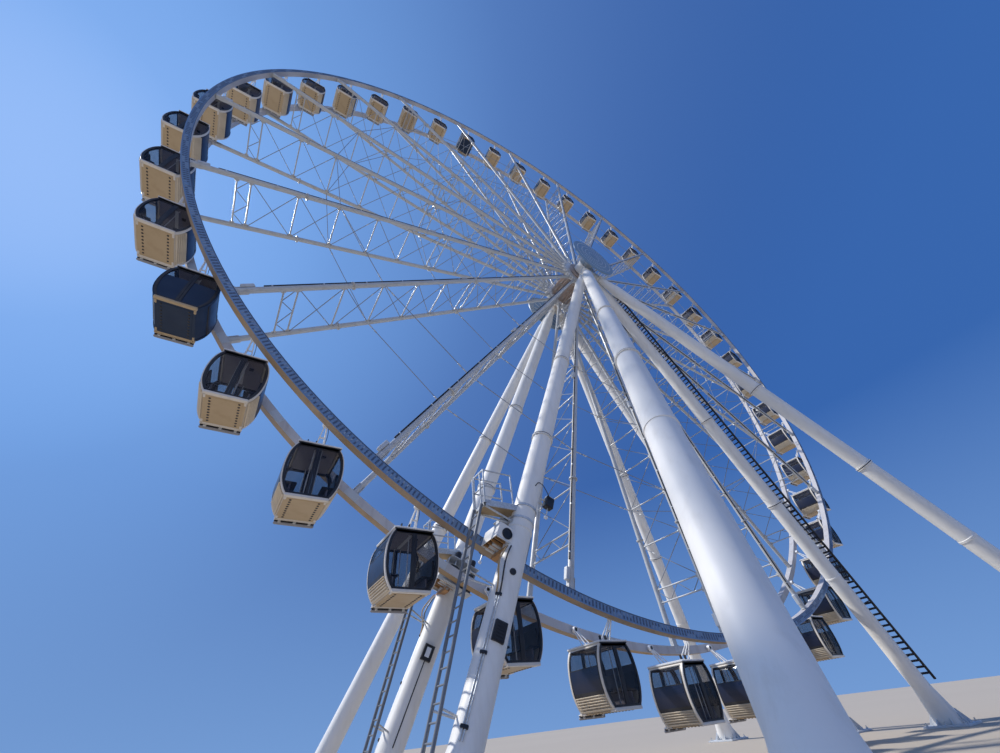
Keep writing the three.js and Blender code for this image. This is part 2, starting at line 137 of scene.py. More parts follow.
# Cabins, measured from the pivot
CABIN_HALF_LENGTH = 0.77
CABIN_CURVE = [
    (0.57, -0.66), (0.665, -0.8), (0.735, -0.98), (0.775, -1.2), (0.79, -1.45),
    (0.775, -1.7), (0.735, -1.9), (0.665, -2.08), (0.585, -2.22), (0.53, -2.28),
]
CABIN_TOP = CABIN_CURVE[0][1]
CABIN_BOTTOM = CABIN_CURVE[-1][1]
GLASS_TOP = -0.76
GLASS_BOTTOM = -2.2
FILM_TOP = -1.2
GLASS_BULGE = 0.035
SIDE_GLASS = (-0.74, -1.22)
SIDE_PANEL = (-1.25, -1.84)
SIDE_LOUVRES = (-1.92, -2.23)
ROOF_SIZE = (1.22, 1.62)
ROOF_TOP = -0.6
LOWER_SIDE_TOP = -1.88
CABIN_SIDE_POINTS = 16
PANE_THICKNESS = 0.012
PANE_COLUMNS = 8
PANE_ROWS = 12
NAVY_CABINS = [28, 40]

# Drive units, on the left inner legs
DRIVE_PLACE = 24.6
CARRIER_HALF_WIDTH = 0.575
CARRIER_HALF_HEIGHT = 0.45
CARRIER_Y = (1.4, 1.9)
COVER_X = (-0.76, 0.05)
COVER_Y = (1.5, 2.38)
COVER_Z = (-0.48, -0.03)
TYRE_RADIUS = 0.24
TYRE_WIDTH = 0.3
TYRE_SPACING = 0.62
TYRE_Y = 1.592

# Service platforms and ladders, on the left inner legs
PLATFORM_DROP = 21.7
PLATFORM_Y = (1.66, 2.3)
PLATFORM_LENGTH = 1.03
PLATFORM_SETBACK = 0.12
PLATFORM_THICKNESS = 0.08
RAIL_HEIGHT = 1.1
RAIL_RADIUS = 0.026
LADDER_Y = (1.7, 2.15)
LADDER_LEAN = 0.275
LADDER_FOOT_HEIGHT = 1.3
LADDER_GRAB_HEIGHT = 1.0
RUNG_SPACING = 0.3
BRACE_DROP = 0.5
STRAP_SHIFTS = [-0.04, 0.42]
DECK_EDGE = 0.04
DECK_BAR_SPACING = 0.075
TOE_BOARD_HEIGHT = 0.1
KNEE_RAIL_HEIGHT = 0.54
LADDER_BRACKETS = [0.35, 0.85]

# Fittings of the left inner legs, as distances down the leg and turns about it in radians
OUTER_PORT_PLACE, OUTER_PORT_TURN, OUTER_PORT_RADIUS = 25.85, 0.22, 0.088
INNER_PORT_PLACE, INNER_PORT_TURN, INNER_PORT_RADIUS = 24.7, 0.3, 0.11
LEG_PLATE_PLACE, LEG_PLATE_TURN = 27.3, 0.16
INNER_BOX_PLACE, INNER_BOX_TURN = 27.0, 0.2
FLOODLIGHT_PLACE = 22.9
FLOODLIGHT_REACH = 0.42
CONDUIT_TURNS = (0.74, 0.9)
CABLE_TURNS = (0.75, 1.0)
CONDUIT_END_GAP = 1.6
CLAMP_START = 26.5
CLAMP_SPACING = 1.3

# Ladder up each right inner leg, from a share of the leg's length to a distance from the hub
LEG_LADDER_TOP = 3.8
LEG_LADDER_FOOT_SHARE = 0.95
LEG_LADDER_LIFT = 0.5
LEG_LADDER_Y = (0.05, 0.55)
LEG_RUNG_SPACING = 0.26
LEG_LADDER_BRACKET_SPACING = 2.4

# Camera at the photograph's place and angle, and the stage
CAMERA_PLACE = (-16.6664, -11.473, 1.6024)
CAMERA_ANGLES = (132.9104, 5.3176, -31.3815)
CAMERA_LENS = 13.8554
SENSOR_WIDTH = 36.0
CLIP_END = 400.0
FLOOR_REACH = 150.0
SUN_WAY = (-0.485, 0.518, 0.705)
FILL_WAY = (-0.35, -0.8, 0.45)
BACKDROP_TOWARDS_KEY = [
    (0.0, (0.045, 0.15, 0.45)), (0.5, (0.038, 0.13, 0.42)), (0.65, (0.042, 0.122, 0.38)),
    (0.825, (0.08, 0.18, 0.47)), (0.94, (0.165, 0.345, 0.74)), (0.985, (0.21, 0.42, 0.87)),
    (1.0, (0.32, 0.52, 0.95)),
]
BACKDROP_LOW = (0.2, 0.37, 0.7)
BACKDROP_LOW_TOP = 0.42

X_AXIS = np.array([1.0, 0.0, 0.0])
Y_AXIS = np.array([0.0, 1.0, 0.0])
Z_AXIS = np.array([0.0, 0.0, 1.0])
TWO_PI = 2 * math.pi
NEAR_UPRIGHT = 0.9


def unit(vector):
    vector = np.asarray(vector, dtype=float)
    return vector / np.linalg.norm(vector)


def facing_for(way):
    """Z, or X where the direction itself runs close to Z."""
    return Z_AXIS if abs(unit(way)[2]) < NEAR_UPRIGHT else X_AXIS


def axes_of(*ways):
    """Axes of a block, one direction a column."""
    return np.stack(ways, axis=1)


def basis(origin, along, facing):
    """Matrix whose Z runs along one direction and whose X leans towards another."""
    z_way = unit(along)
    x_way = unit(np.asarray(facing, dtype=float) - z_way * np.dot(facing, z_way))
    matrix = np.eye(4)
    matrix[:3, 0] = x_way
    matrix[:3, 1] = np.cross(z_way, x_way)
    matrix[:3, 2] = z_way
    matrix[:3, 3] = origin
    return matrix


class Shape:
    """Points and faces of one piece, each face with the number of its material."""

    def __init__(self):
        self.points = []
        self.faces = []
        self.tones = []
        self.count = 0
        self.place = np.eye(4)

    def add(self, points, faces, tone=0):
        points = np.asarray(points, dtype=float)
        placed = points @ self.place[:3, :3].T + self.place[:3, 3]
        self.points.append(placed)
        self.faces.extend([tuple(index + self.count for index in face) for face in faces])
        self.tones.extend([tone] * len(faces))
        self.count += len(points)

    def rings(self, rings, tone=0, closed=False, capped=True):
        """Skin over rings of points, each ring with as many points as the next."""
        sides = len(rings[0])
        total = len(rings)
        faces = []
        for i in range(total if closed else total - 1):
            j = (i + 1) % total
            for k in range(sides):
                m = (k + 1) % sides
                faces.append((i * sides + k, i * sides + m, j * sides + m, j * sides + k))
        if capped and not closed:
            faces.append(tuple(reversed(range(sides))))
            faces.append(tuple(range((total - 1) * sides, total * sides)))
        self.add(np.concatenate(rings), faces, tone)

    def tube(self, start, end, radius, sides=12, tone=0):
        start = np.asarray(start, dtype=float)
        along = np.asarray(end, dtype=float) - start
        profile = [(radius, 0.0), (radius, float(np.linalg.norm(along)))]
        self.turned(start, along, profile, sides, tone)

    def disc(self, origin, along, radius, height, sides=12, tone=0):
        """Short cylinder with a point in the middle of each end."""
        self.turned(origin, along, [(0.0, 0.0), (radius, 0.0), (radius, height), (0.0, height)], sides, tone)

    def turned(self, origin, along, profile, sides=24, tone=0, closed=False):
        """Solid of revolution from (radius, distance) points, about a line from the origin."""
        matrix = basis(origin, along, facing_for(along))
        angles = np.arange(sides) * TWO_PI / sides
        rings = []
        for radius, distance in profile:
            ring = np.stack(
                [radius * np.cos(angles), radius * np.sin(angles), np.full(sides, distance)], axis=1
            )
            rings.append(ring @ matrix[:3, :3].T + matrix[:3, 3])
        self.rings(rings, tone, closed)

    def sweep(self, path, radius, sides=8, tone=0):
        """Round bar along a path of points."""
        path = np.asarray(path, dtype=float)
        ways = np.gradient(path, axis=0)
        facing = facing_for(ways[0])
        angles = np.arange(sides) * TWO_PI / sides
        rings = []
        for point, way in zip(path, ways):
            matrix = basis(point, way, facing)
            facing = matrix[:3, 0]
            ring = np.outer(np.cos(angles), matrix[:3, 0]) + np.outer(np.sin(angles), matrix[:3, 1])
            rings.append(point + radius * ring)
        self.rings(rings, tone)

    def block(self, centre, size, bevel=0.0, axes=None, tone=0):
        """Box with cut edges, its sides along the columns of axes."""
        axes = np.eye(3) if axes is None else axes
        half = np.asarray(size, dtype=float) / 2
        levels = [(-half[2], bevel), (-half[2] + bevel, 0.0), (half[2] - bevel, 0.0), (half[2], bevel)]
        if bevel == 0.0:
            levels = [(-half[2], 0.0), (half[2], 0.0)]
        rings = []
        for height, inset in levels:
            x, y = half[0] - inset, half[1] - inset
            corners = [(x, y), (-x, y), (-x, -y), (x, -y)]
            outline = []
            for cx, cy in corners:
                if bevel == 0.0:
                    outline.append((cx, cy, height))
                    continue
                cut = bevel if inset == 0.0 else bevel / 2
                first = (cx, cy - math.copysign(cut, cy), height)
                second = (cx - math.copysign(cut, cx), cy, height)
                outline.extend([first, second] if cx * cy > 0 else [second, first])
            rings.append(np.array(outline) @ axes.T + np.asarray(centre, dtype=float))
        self.rings(rings, tone)

    def prism(self, outline, low, high, origin, axes, tone=0):
        """Prism of an outline in the first two axes, from low to high along the third."""
        rings = []
        for level in (low, high):
            ring = np.array([(x, y, level) for x, y in outline])
            rings.append(ring @ axes.T + origin)
        self.rings(rings, tone)

    def bolts(self, centre, axis, circle, count, radius, height, tone=0):
        """Ring of hexagon bolt heads about an axis."""
        matrix = basis(centre, axis, facing_for(axis))
        for i in range(count):
            angle = i * TWO_PI / count
            way = math.cos(angle) * matrix[:3, 0] + math.sin(angle) * matrix[:3, 1]
            spot = matrix[:3, 3] + circle * way
            self.tube(spot, spot + unit(axis) * height, radius, 6, tone=tone)


def smooth_curve(points, steps):
    """Catmull-Rom curve through the points."""
    points = np.asarray(points, dtype=float)
    padded = np.concatenate([[2 * points[0] - points[1]], points, [2 * points[-1] - points[-2]]])
    curve = []
    for i in range(1, len(padded) - 2):
        a, b, c, d = padded[i - 1:i + 3]
        for t in np.arange(steps) / steps:
            curve.append(0.5 * (
                2 * b + (c - a) * t + (2 * a - 5 * b + 4 * c - d) * t ** 2
                + (3 * b - a - 3 * c + d) * t ** 3
            ))
    curve.append(points[-1])
    return np.array(curve)


# Materials
def add_node(tree, kind, **inputs):
    node = tree.nodes.new(kind)
    for name, value in inputs.items():
        node.inputs[name.replace("_", " ")].default_value = value
    return node


def new_material(name):
    material = bpy.data.materials.new(name)
    material.use_nodes = True
    tree = material.node_tree
    return material, tree, tree.nodes["Principled BSDF"]


def noise(tree, scale, detail=4.0, roughness=0.55, stretch=None):
    """Noise over the piece's own coordinates, stretched along an axis if asked."""
    place = tree.nodes.new("ShaderNodeTexCoord")
    texture = add_node(tree, "ShaderNodeTexNoise", Scale=scale, Detail=detail, Roughness=roughness)
    source = place.outputs["Object"]
    if stretch is not None:
        mapping = add_node(tree, "ShaderNodeMapping", Scale=stretch)
        tree.links.new(source, mapping.inputs["Vector"])
        source = mapping.outputs["Vector"]
    tree.links.new(source, texture.inputs["Vector"])
    return texture.outputs["Fac"]


def ramp(tree, factor, stops):
    """Colour ramp from (place, colour) stops."""
    node = tree.nodes.new("ShaderNodeValToRGB")
    elements = node.color_ramp.elements
    while len(elements) < len(stops):
        elements.new(0.5)
    for element, (place, colour) in zip(elements, stops):
        element.position = place
        element.color = (*colour, 1.0)
    tree.links.new(factor, node.inputs["Fac"])
    return node.outputs["Color"]


def grey(level):
    return (level, level, level)


def blended(tree, factor, first, second, mode="MIX"):
    node = tree.nodes.new("ShaderNodeMix")
    node.data_type = "RGBA"
    node.blend_type = mode
    sockets = {"Factor": factor, "A": first, "B": second}
    for name, value in sockets.items():
        socket = next(s for s in node.inputs if s.name == name and s.enabled)
        if isinstance(value, bpy.types.NodeSocket):
            tree.links.new(value, socket)
        elif isinstance(value, float):
            socket.default_value = value
        else:
            socket.default_value = (*value, 1.0)
    return next(s for s in node.outputs if s.enabled)


def bump(tree, shader, height, strength, distance):
    node = add_node(tree, "ShaderNodeBump", Strength=strength, Distance=distance)
    tree.links.new(height, node.inputs["Height"])
    tree.links.new(node.outputs["Normal"], shader.inputs["Normal"])


def painted(name, colour, grime, roughness, grime_share=0.6, coat=0.0):
    """Painted metal or moulded shell: patchy colour, faint streaks down it, fine orange peel."""
    material, tree, shader = new_material(name)
    patches = ramp(tree, noise(tree, 0.9), [(0.35, grey(0.0)), (0.75, grey(1.0))])
    base = blended(tree, patches, colour, tuple(0.93 * c for c in colour))
    streaks = noise(tree, 2.2, 6.0, 0.6, stretch=(3.0, 3.0, 0.5))
    marks = ramp(tree, streaks, [(0.52, grey(0.0)), (0.82, grey(grime_share))])
    tree.links.new(blended(tree, marks, base, grime), shader.inputs["Base Color"])
    gloss = ramp(tree, noise(tree, 3.5), [(0.3, grey(roughness - 0.07)), (0.7, grey(roughness + 0.1))])
    tree.links.new(gloss, shader.inputs["Roughness"])
    shader.inputs["Coat Weight"].default_value = coat
    bump(tree, shader, noise(tree, 60.0, 2.0), 0.12, 0.002)
    return material


def galvanised(name, colour):
    """Zinc spangle: small cells of differing grey."""
    material, tree, shader = new_material(name)
    place = tree.nodes.new("ShaderNodeTexCoord")
    cells = add_node(tree, "ShaderNodeTexVoronoi", Scale=38.0)
    tree.links.new(place.outputs["Object"], cells.inputs["Vector"])
    spangle = ramp(tree, cells.outputs["Distance"], [
        (0.0, tuple(0.8 * c for c in colour)), (0.9, tuple(min(1.0, 1.15 * c) for c in colour))
    ])
    marks = ramp(tree, noise(tree, 3.0, 6.0), [(0.5, grey(0.0)), (0.75, grey(0.5))])
    tree.links.new(blended(tree, marks, spangle, (0.22, 0.2, 0.18)), shader.inputs["Base Color"])
    shader.inputs["Metallic"].default_value = 0.7
    shader.inputs["Roughness"].default_value = 0.48
    bump(tree, shader, cells.outputs["Distance"], 0.15, 0.001)
    return material


def rubber(name, colour, roughness):
    """Rubber or dull moulded plastic with a dusty bloom."""
    material, tree, shader = new_material(name)
    dust = ramp(tree, noise(tree, 4.0, 6.0), [(0.45, grey(0.0)), (0.8, grey(0.16))])
    tree.links.new(blended(tree, dust, colour, (0.2, 0.2, 0.21)), shader.inputs["Base Color"])
    shader.inputs["Roughness"].default_value = roughness
    bump(tree, shader, noise(tree, 90.0, 3.0), 0.2, 0.002)
    return material


def tinted_glass(name, colour, opacity):
    """Dark glazing that can be seen through, with faint water marks."""
    material, tree, shader = new_material(name)
    film = ramp(tree, noise(tree, 2.5, 5.0), [(0.4, grey(0.0)), (0.8, grey(0.5))])
    tree.links.new(
        blended(tree, film, colour, tuple(c + 0.05 for c in colour)), shader.inputs["Base Color"]
    )
    clear = ramp(tree, noise(tree, 1.3), [(0.3, grey(opacity - 0.05)), (0.7, grey(opacity + 0.05))])
    tree.links.new(clear, shader.inputs["Alpha"])
    shader.inputs["Roughness"].default_value = 0.04
    shader.inputs["IOR"].default_value = 1.52
    bump(tree, shader, noise(tree, 1.5, 1.0), 0.05, 0.01)
    return material


def rim_underside(name):
    """Paint round a rim's outer edge, brown from rust and from a painted warm reflection of the ground."""
    material, tree, shader = new_material(name)
    rust_and_reflection = ramp(tree, noise(tree, 0.7, 5.0), [
        (0.3, (0.45, 0.27, 0.1)), (0.5, (0.4, 0.3, 0.2)), (0.7, (0.3, 0.22, 0.16))
    ])
    marks = ramp(tree, noise(tree, 5.0, 6.0), [(0.5, grey(0.0)), (0.7, grey(0.6))])
    tree.links.new(blended(tree, marks, rust_and_reflection, (0.3, 0.2, 0.12)), shader.inputs["Base Color"])
    shader.inputs["Roughness"].default_value = 0.6
    bump(tree, shader, noise(tree, 30.0, 4.0), 0.2, 0.002)
    return material


def plain_pale(name, colour):
    material, tree, shader = new_material(name)
    shade = ramp(tree, noise(tree, 0.05, 3.0), [
        (0.3, colour), (0.7, tuple(0.95 * c for c in colour))
    ])
    tree.links.new(shade, shader.inputs["Base Color"])
    shader.inputs["Roughness"].default_value = 0.9
    return material


WHITE_PAINT = painted("white_paint", (0.82, 0.83, 0.84), (0.55, 0.53, 0.49), 0.36, coat=0.2)
# Truss chords, struts and rods: white paint darkened to the greys they show in shade, so painted shade; the
# streaks on them are grime.
CHORD_SHADED_WHITE = painted("chord_white_painted_shade", (0.54, 0.55, 0.55), (0.36, 0.32, 0.27), 0.34, coat=0.2)
STRUT_SHADED_WHITE = painted("strut_white_painted_shade", (0.48, 0.5, 0.52), (0.3, 0.3, 0.3), 0.3, coat=0.3)
ROD_SHADED_WHITE = painted("rod_white_painted_shade", (0.26, 0.28, 0.32), (0.16, 0.16, 0.16), 0.4)
LEG_PAINT = painted("leg_white_paint", (0.84, 0.82, 0.78), (0.64, 0.6, 0.54), 0.5, coat=0.1)
# Rim paint darkened to the blue-grey its outer faces show in shade under the sky: painted shade and sky
# reflection. The inner faces take a paler grey, also painted shade.
RIM_SHADED_BLUE_GREY = painted("rim_blue_grey_painted_shade", (0.18, 0.29, 0.47), (0.16, 0.17, 0.2), 0.38)
RIM_INNER_SHADED_GREY = painted("rim_inner_painted_shade", (0.56, 0.54, 0.54), (0.34, 0.27, 0.22), 0.4)
GREY_PAINT = painted("grey_machine_paint", (0.58, 0.61, 0.64), (0.36, 0.34, 0.32), 0.45)
# Hub drum: reddish brown with heavy dark streaks over most of it.
HUB_PAINT = painted("hub_reddish_brown_paint", (0.5, 0.4, 0.35), (0.2, 0.13, 0.1), 0.42, grime_share=0.9)
# End discs: pale paint darkened to the blue-grey their faces show in shade under the sky: painted shade and
# sky reflection.
DISC_SHADED_BLUE_GREY = painted("disc_blue_grey_painted_shade", (0.2, 0.3, 0.42), (0.16, 0.22, 0.3), 0.42)
# Rims' outer edge: rust brown with the ground's warm reflection painted in.
RUST_AND_GROUND_REFLECTION = rim_underside("rim_rust_and_ground_reflection_paint")
ZINC = galvanised("galvanised_steel", (0.6, 0.62, 0.63))
CREAM = painted("cabin_cream_gel_coat", (0.68, 0.58, 0.44), (0.42, 0.34, 0.24), 0.34, coat=0.3)
CREAM_FRAME = painted("cabin_frame_cream", (0.74, 0.68, 0.6), (0.5, 0.43, 0.36), 0.34, coat=0.3)
# Cabin undersides: cream moulding with the warm light bounced up from the ground painted in as tan; the navy
# cabins' end lips take it too.
UNDERSIDE_WARM_BOUNCE = painted("cabin_underside_tan", (0.5, 0.37, 0.22), (0.38, 0.26, 0.14), 0.45)
NAVY = painted("cabin_navy_gel_coat", (0.003, 0.02, 0.06), (0.008, 0.02, 0.05), 0.6)
ROOF_GREY = painted("cabin_roof_white", (0.78, 0.79, 0.8), (0.56, 0.54, 0.52), 0.4)
CEILING = painted("cabin_ceiling_grey", (0.27, 0.25, 0.29), (0.16, 0.15, 0.18), 0.5)
GLASS = tinted_glass("cabin_tinted_glass", (0.02, 0.022, 0.035), 0.26)
BLACK = rubber("black_gasket", (0.008, 0.008, 0.012), 0.42)
SIDE_BLACK = painted("cabin_side_panel_navy", (0.006, 0.012, 0.04), (0.02, 0.02, 0.035), 0.32, coat=0.1)
TYRE = rubber("drive_tyre_rubber", (0.02, 0.02, 0.02), 0.75)
BUMPER = rubber("bumper_grey_rubber", (0.28, 0.28, 0.3), 0.6)
LAMP = painted("lamp_lens", (0.82, 0.85, 0.9), (0.6, 0.62, 0.66), 0.2, coat=0.4)
LED_DARK = rubber("light_module_dark", (0.08, 0.115, 0.19), 0.4)
LED_GREY = rubber("light_module_grey", (0.26, 0.34, 0.46), 0.4)
MACHINE_ORANGE = painted("drive_orange_primer", (0.5, 0.26, 0.1), (0.2, 0.12, 0.07), 0.5, grime_share=0.8)
# Ladder steel darkened to the grey of its shade: painted shade.
LADDER_PAINTED_SHADE = painted("ladder_steel_painted_shade", (0.16, 0.18, 0.21), (0.1, 0.09, 0.08), 0.5)
DECK_BROWN = painted("deck_underside_brown", (0.42, 0.29, 0.15), (0.24, 0.17, 0.1), 0.6)
PALE_FLOOR = plain_pale("studio_floor", (0.5, 0.43, 0.34))


# Pieces
def face_outwards(mesh):
    """Turns every face of each closed body outwards."""
    shell = bmesh.new()
    shell.from_mesh(mesh)
    bmesh.ops.recalc_face_normals(shell, faces=shell.faces)
    shell.to_mesh(mesh)
    shell.free()


def mesh_from(name, shape, materials, crease=40.0):
    mesh = bpy.data.meshes.new(name)
    points = np.concatenate(shape.points) * MODEL_SCALE
    mesh.from_pydata(points.tolist(), [], shape.faces)
    mesh.polygons.foreach_set("material_index", shape.tones)
    face_outwards(mesh)
    for material in materials:
        mesh.materials.append(material)
    mesh.shade_smooth()
    mesh.set_sharp_from_angle(angle=math.radians(crease))
    mesh.update()
    return mesh


def place_piece(name, mesh, body, where=(0.0, 0.0, 0.0), turn=0.0, stands_for=()):
    """Piece at a place in real metres, turned about the axle's direction."""
    piece = bpy.data.objects.new(name, mesh)
    bpy.context.scene.collection.objects.link(piece)
    piece.matrix_world = (
        Matrix.Translation(Vector(where) * MODEL_SCALE) @ Matrix.Rotation(turn, 4, "Y")
    )
    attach(piece, body)
    if stands_for:
        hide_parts(*stands_for)


def make_piece(name, shape, materials, body, stands_for=(), crease=40.0):
    place_piece(name, mesh_from(name, shape, materials, crease), body, stands_for=stands_for)


def on_wheel(angle, radius, y):
    """Point on the wheel from its polar place and its distance along the axle."""
    return np.array([radius * math.cos(angle), y, HUB_HEIGHT + radius * math.sin(angle)])


def wheel_ways(angle):
    """Directions out from the hub and round the wheel."""
    radial = np.array([math.cos(angle), 0.0, math.sin(angle)])
    tangent = np.array([-math.sin(angle), 0.0, math.cos(angle)])
    return radial, tangent


# Stage: camera, floor, backdrop and lights
def make_camera():
    camera = bpy.data.objects.new("camera", bpy.data.cameras.new("camera"))
    bpy.context.scene.collection.objects.link(camera)
    camera.data.sensor_fit = "HORIZONTAL"
    camera.data.sensor_width = SENSOR_WIDTH
    camera.data.lens = CAMERA_LENS
    camera.data.clip_end = CLIP_END
    camera.location = Vector(CAMERA_PLACE) * MODEL_SCALE
    camera.rotation_euler = Euler([math.radians(a) for a in CAMERA_ANGLES], "XYZ")
    bpy.context.scene.camera = camera


def make_floor():
    mesh = bpy.data.meshes.new("studio_floor")
    corners = [(-1, -1), (1, -1), (1, 1), (-1, 1)]
    mesh.from_pydata([(FLOOR_REACH * x, FLOOR_REACH * y, 0) for x, y in corners], [], [(0, 1, 2, 3)])
    mesh.materials.append(PALE_FLOOR)
    floor = bpy.data.objects.new("studio_floor", mesh)
    bpy.context.scene.collection.objects.link(floor)


def make_backdrop():
    world = bpy.data.worlds.new("studio")
    bpy.context.scene.world = world
    world.use_nodes = True
    tree = world.node_tree
    place = tree.nodes.new("ShaderNodeTexCoord")
    towards = tree.nodes.new("ShaderNodeVectorMath")
    towards.operation = "DOT_PRODUCT"
    towards.inputs[1].default_value = SUN_WAY
    tree.links.new(place.outputs["Generated"], towards.inputs[0])
    share = add_node(tree, "ShaderNodeMapRange", From_Min=-1.0, From_Max=1.0)
    tree.links.new(towards.outputs["Value"], share.inputs["Value"])
    overhead = ramp(tree, share.outputs["Result"], BACKDROP_TOWARDS_KEY)
    overhead.node.color_ramp.interpolation = "B_SPLINE"
    split = tree.nodes.new("ShaderNodeSeparateXYZ")
    tree.links.new(place.outputs["Generated"], split.inputs["Vector"])
    low = ramp(tree, split.outputs["Z"], [(0.0, grey(0.8)), (BACKDROP_LOW_TOP, grey(0.0))])
    shade = blended(tree, low, overhead, BACKDROP_LOW)
    background = tree.nodes["Background"]
    tree.links.new(shade, background.inputs["Color"])


def make_sun(name, way, strength, angle, colour):
    light = bpy.data.lights.new(name, "SUN")
    light.energy = strength
    light.angle = math.radians(angle)
    light.color = colour
    lamp = bpy.data.objects.new(name, light)
    bpy.context.scene.collection.objects.link(lamp)
    lamp.rotation_mode = "QUATERNION"
    lamp.rotation_quaternion = Vector(way).to_track_quat("Z", "Y")


bpy.context.scene.view_settings.view_transform = "Standard"
make_camera()
make_floor()
make_backdrop()
make_sun("key_light", SUN_WAY, 3.6, 3.0, (1.0, 0.97, 0.92))
make_sun("fill_light", FILL_WAY, 0.18, 40.0, (0.96, 0.97, 1.0))


# Rims
def rim_profile(side):
    """Closed outline of (radius, y): a shallow box with a recessed outer face."""
    low, high = side * RIM_INNER_Y, side * RIM_OUTER_Y
    face = high - side * RIM_RECESS
    near, far = RIM_INNER_RADIUS + RIM_LIP, RIM_OUTER_RADIUS - RIM_LIP
    return [
        (RIM_INNER_RADIUS, low), (RIM_INNER_RADIUS, high), (near, high), (near, face),
        (far, face), (far, high), (RIM_OUTER_RADIUS, high), (RIM_OUTER_RADIUS, low),
    ]


def make_rim(side, face):
    name = "rim_" + face
    shape = Shape()
    profile = rim_profile(side)
    rings = []
    for angle in np.arange(RIM_SEGMENTS) * TWO_PI / RIM_SEGMENTS:
        rings.append(np.array([on_wheel(angle, radius, y) for radius, y in profile]))
    shape.rings(rings, closed=True)
    shape.tones = RIM_EDGE_TONES * RIM_SEGMENTS
    for angle in PIVOT_ANGLES:
        add_rim_bearing(shape, angle, side)
        add_splice(shape, angle + CABIN_STEP / 2, side)
    # Tone 0 is the rim's blue-grey painted shade, tone 4 its paler grey painted shade.
    materials = [RIM_SHADED_BLUE_GREY, RUST_AND_GROUND_REFLECTION, GREY_PAINT, ZINC, RIM_INNER_SHADED_GREY, LED_DARK]
    make_piece(name, shape, materials, "wheel", [name])


def add_rim_bearing(shape, angle, side):
    """Pillow block on the rim where a cabin's pin runs."""
    way = Y_AXIS * side
    seat = on_wheel(angle, PIVOT_RADIUS, side * RIM_OUTER_Y) - way * 0.02
    profile = [(0.0, 0.0), (0.075, 0.0), (0.075, 0.03), (0.05, 0.045), (0.0, 0.045)]
    shape.turned(seat, way, profile, 16)


def add_splice(shape, angle, side):
    """Bolted joint plate on the rim's inner face."""
    radial, tangent = wheel_ways(angle)
    half = -Y_AXIS * side * SPLICE_SIZE[2] / 2
    centre = on_wheel(angle, (RIM_INNER_RADIUS + RIM_OUTER_RADIUS) / 2, side * RIM_INNER_Y) + half
    shape.block(centre, SPLICE_SIZE, 0.004, axes_of(tangent, radial, Y_AXIS), tone=2)
    for along in SPLICE_BOLTS_ALONG:
        for out in SPLICE_BOLTS_OUT:
            spot = centre + tangent * along + radial * out + half
            shape.tube(spot, spot - Y_AXIS * side * 0.014, 0.014, 6, tone=3)


def make_rim_lights(side, face):
    """Two rows of small light modules round the rim's outer face, in groups of two greys."""
    shape = Shape()
    count = LIGHTS_PER_CABIN * CABIN_COUNT
    y = side * (RIM_OUTER_Y - LIGHT_SINK)
    for k in range(count):
        angle = (k + 0.5) * TWO_PI / count
        radial, tangent = wheel_ways(angle)
        for row, radius in enumerate((RIM_INNER_RADIUS + LIGHT_INSET, RIM_OUTER_RADIUS - LIGHT_INSET)):
            tone = 1 if (k // 3 + row) % 4 == 0 else 0
            axes = axes_of(tangent, radial, Y_AXIS)
            shape.block(on_wheel(angle, radius, y), LIGHT_SIZE, 0.0, axes, tone)
    make_piece("rim_lights_" + face, shape, [LED_DARK, LED_GREY], "wheel")


# Spoke trusses: X out along the spoke, Y along the axle, Z across
def truss_shape():
    """Two chords with struts, crossed rods and light lattice between them."""
    shape = Shape()
    for y in (-CHORD_Y, CHORD_Y):
        shape.tube((CHORD_ROOT, y, 0), (CHORD_TIP, y, 0), CHORD_RADIUS, 20)
        add_root_flange(shape, y)
        add_tip_lug(shape, y)
        for place in CHORD_JOINT_PLACES:
            add_chord_joint(shape, np.array([place, y, 0.0]))
    for place in STRUT_PLACES:
        shape.tube((place, -CHORD_Y, 0), (place, CHORD_Y, 0), STRUT_RADIUS, 12, tone=2)
        for side in (-1, 1):
            add_gusset(shape, place, side)
    for inner, outer in zip(STRUT_PLACES, STRUT_PLACES[1:]):
        if (inner, outer) in CLOSE_PAIRS:
            add_zigzag(shape, inner, outer)
        else:
            add_cross_rods(shape, inner, outer)
    add_cross_rods(shape, CHORD_ROOT + 0.3, STRUT_PLACES[0])
    return shape


def add_root_flange(shape, y):
    """Bolted flange and cone at a chord's root."""
    start = np.array([CHORD_ROOT, y, 0.0])
    profile = [(0.0, 0.0), (0.2, 0.0), (0.2, 0.05), (0.13, 0.07), (CHORD_RADIUS, 0.2), (0.0, 0.2)]
    shape.turned(start, X_AXIS, profile, 20)
    shape.bolts(start + X_AXIS * 0.05, X_AXIS, 0.165, 8, 0.016, 0.02, tone=1)


def add_tip_lug(shape, y):
    """Cleat that carries the chord's end to the rim."""
    for side in (-1, 1):
        shape.block((CHORD_TIP - 0.2, y, side * CHORD_RADIUS), (0.4, 0.16, 0.02), 0.006)
        for back in (0.3, 0.2, 0.1):
            low = np.array([CHORD_TIP - back, y, side * (CHORD_RADIUS + 0.01)])
            shape.tube(low, low + Z_AXIS * side * 0.018, 0.016, 6, tone=1)
    shape.block((CHORD_TIP - 0.02, y, 0), (0.03, 0.2, 0.3), 0.006)


def add_chord_joint(shape, centre):
    """Pair of bolted flanges where two lengths of a chord meet."""
    edge, neck = CHORD_RADIUS + 0.06, CHORD_RADIUS + 0.012
    profile = [(0.0, 0.002), (edge, 0.002), (edge, 0.028), (neck, 0.045), (0.0, 0.045)]
    for way in (-X_AXIS, X_AXIS):
        shape.turned(centre, way, profile, 20)
        shape.bolts(centre + way * 0.028, way, CHORD_RADIUS + 0.035, 8, 0.012, 0.014, tone=1)


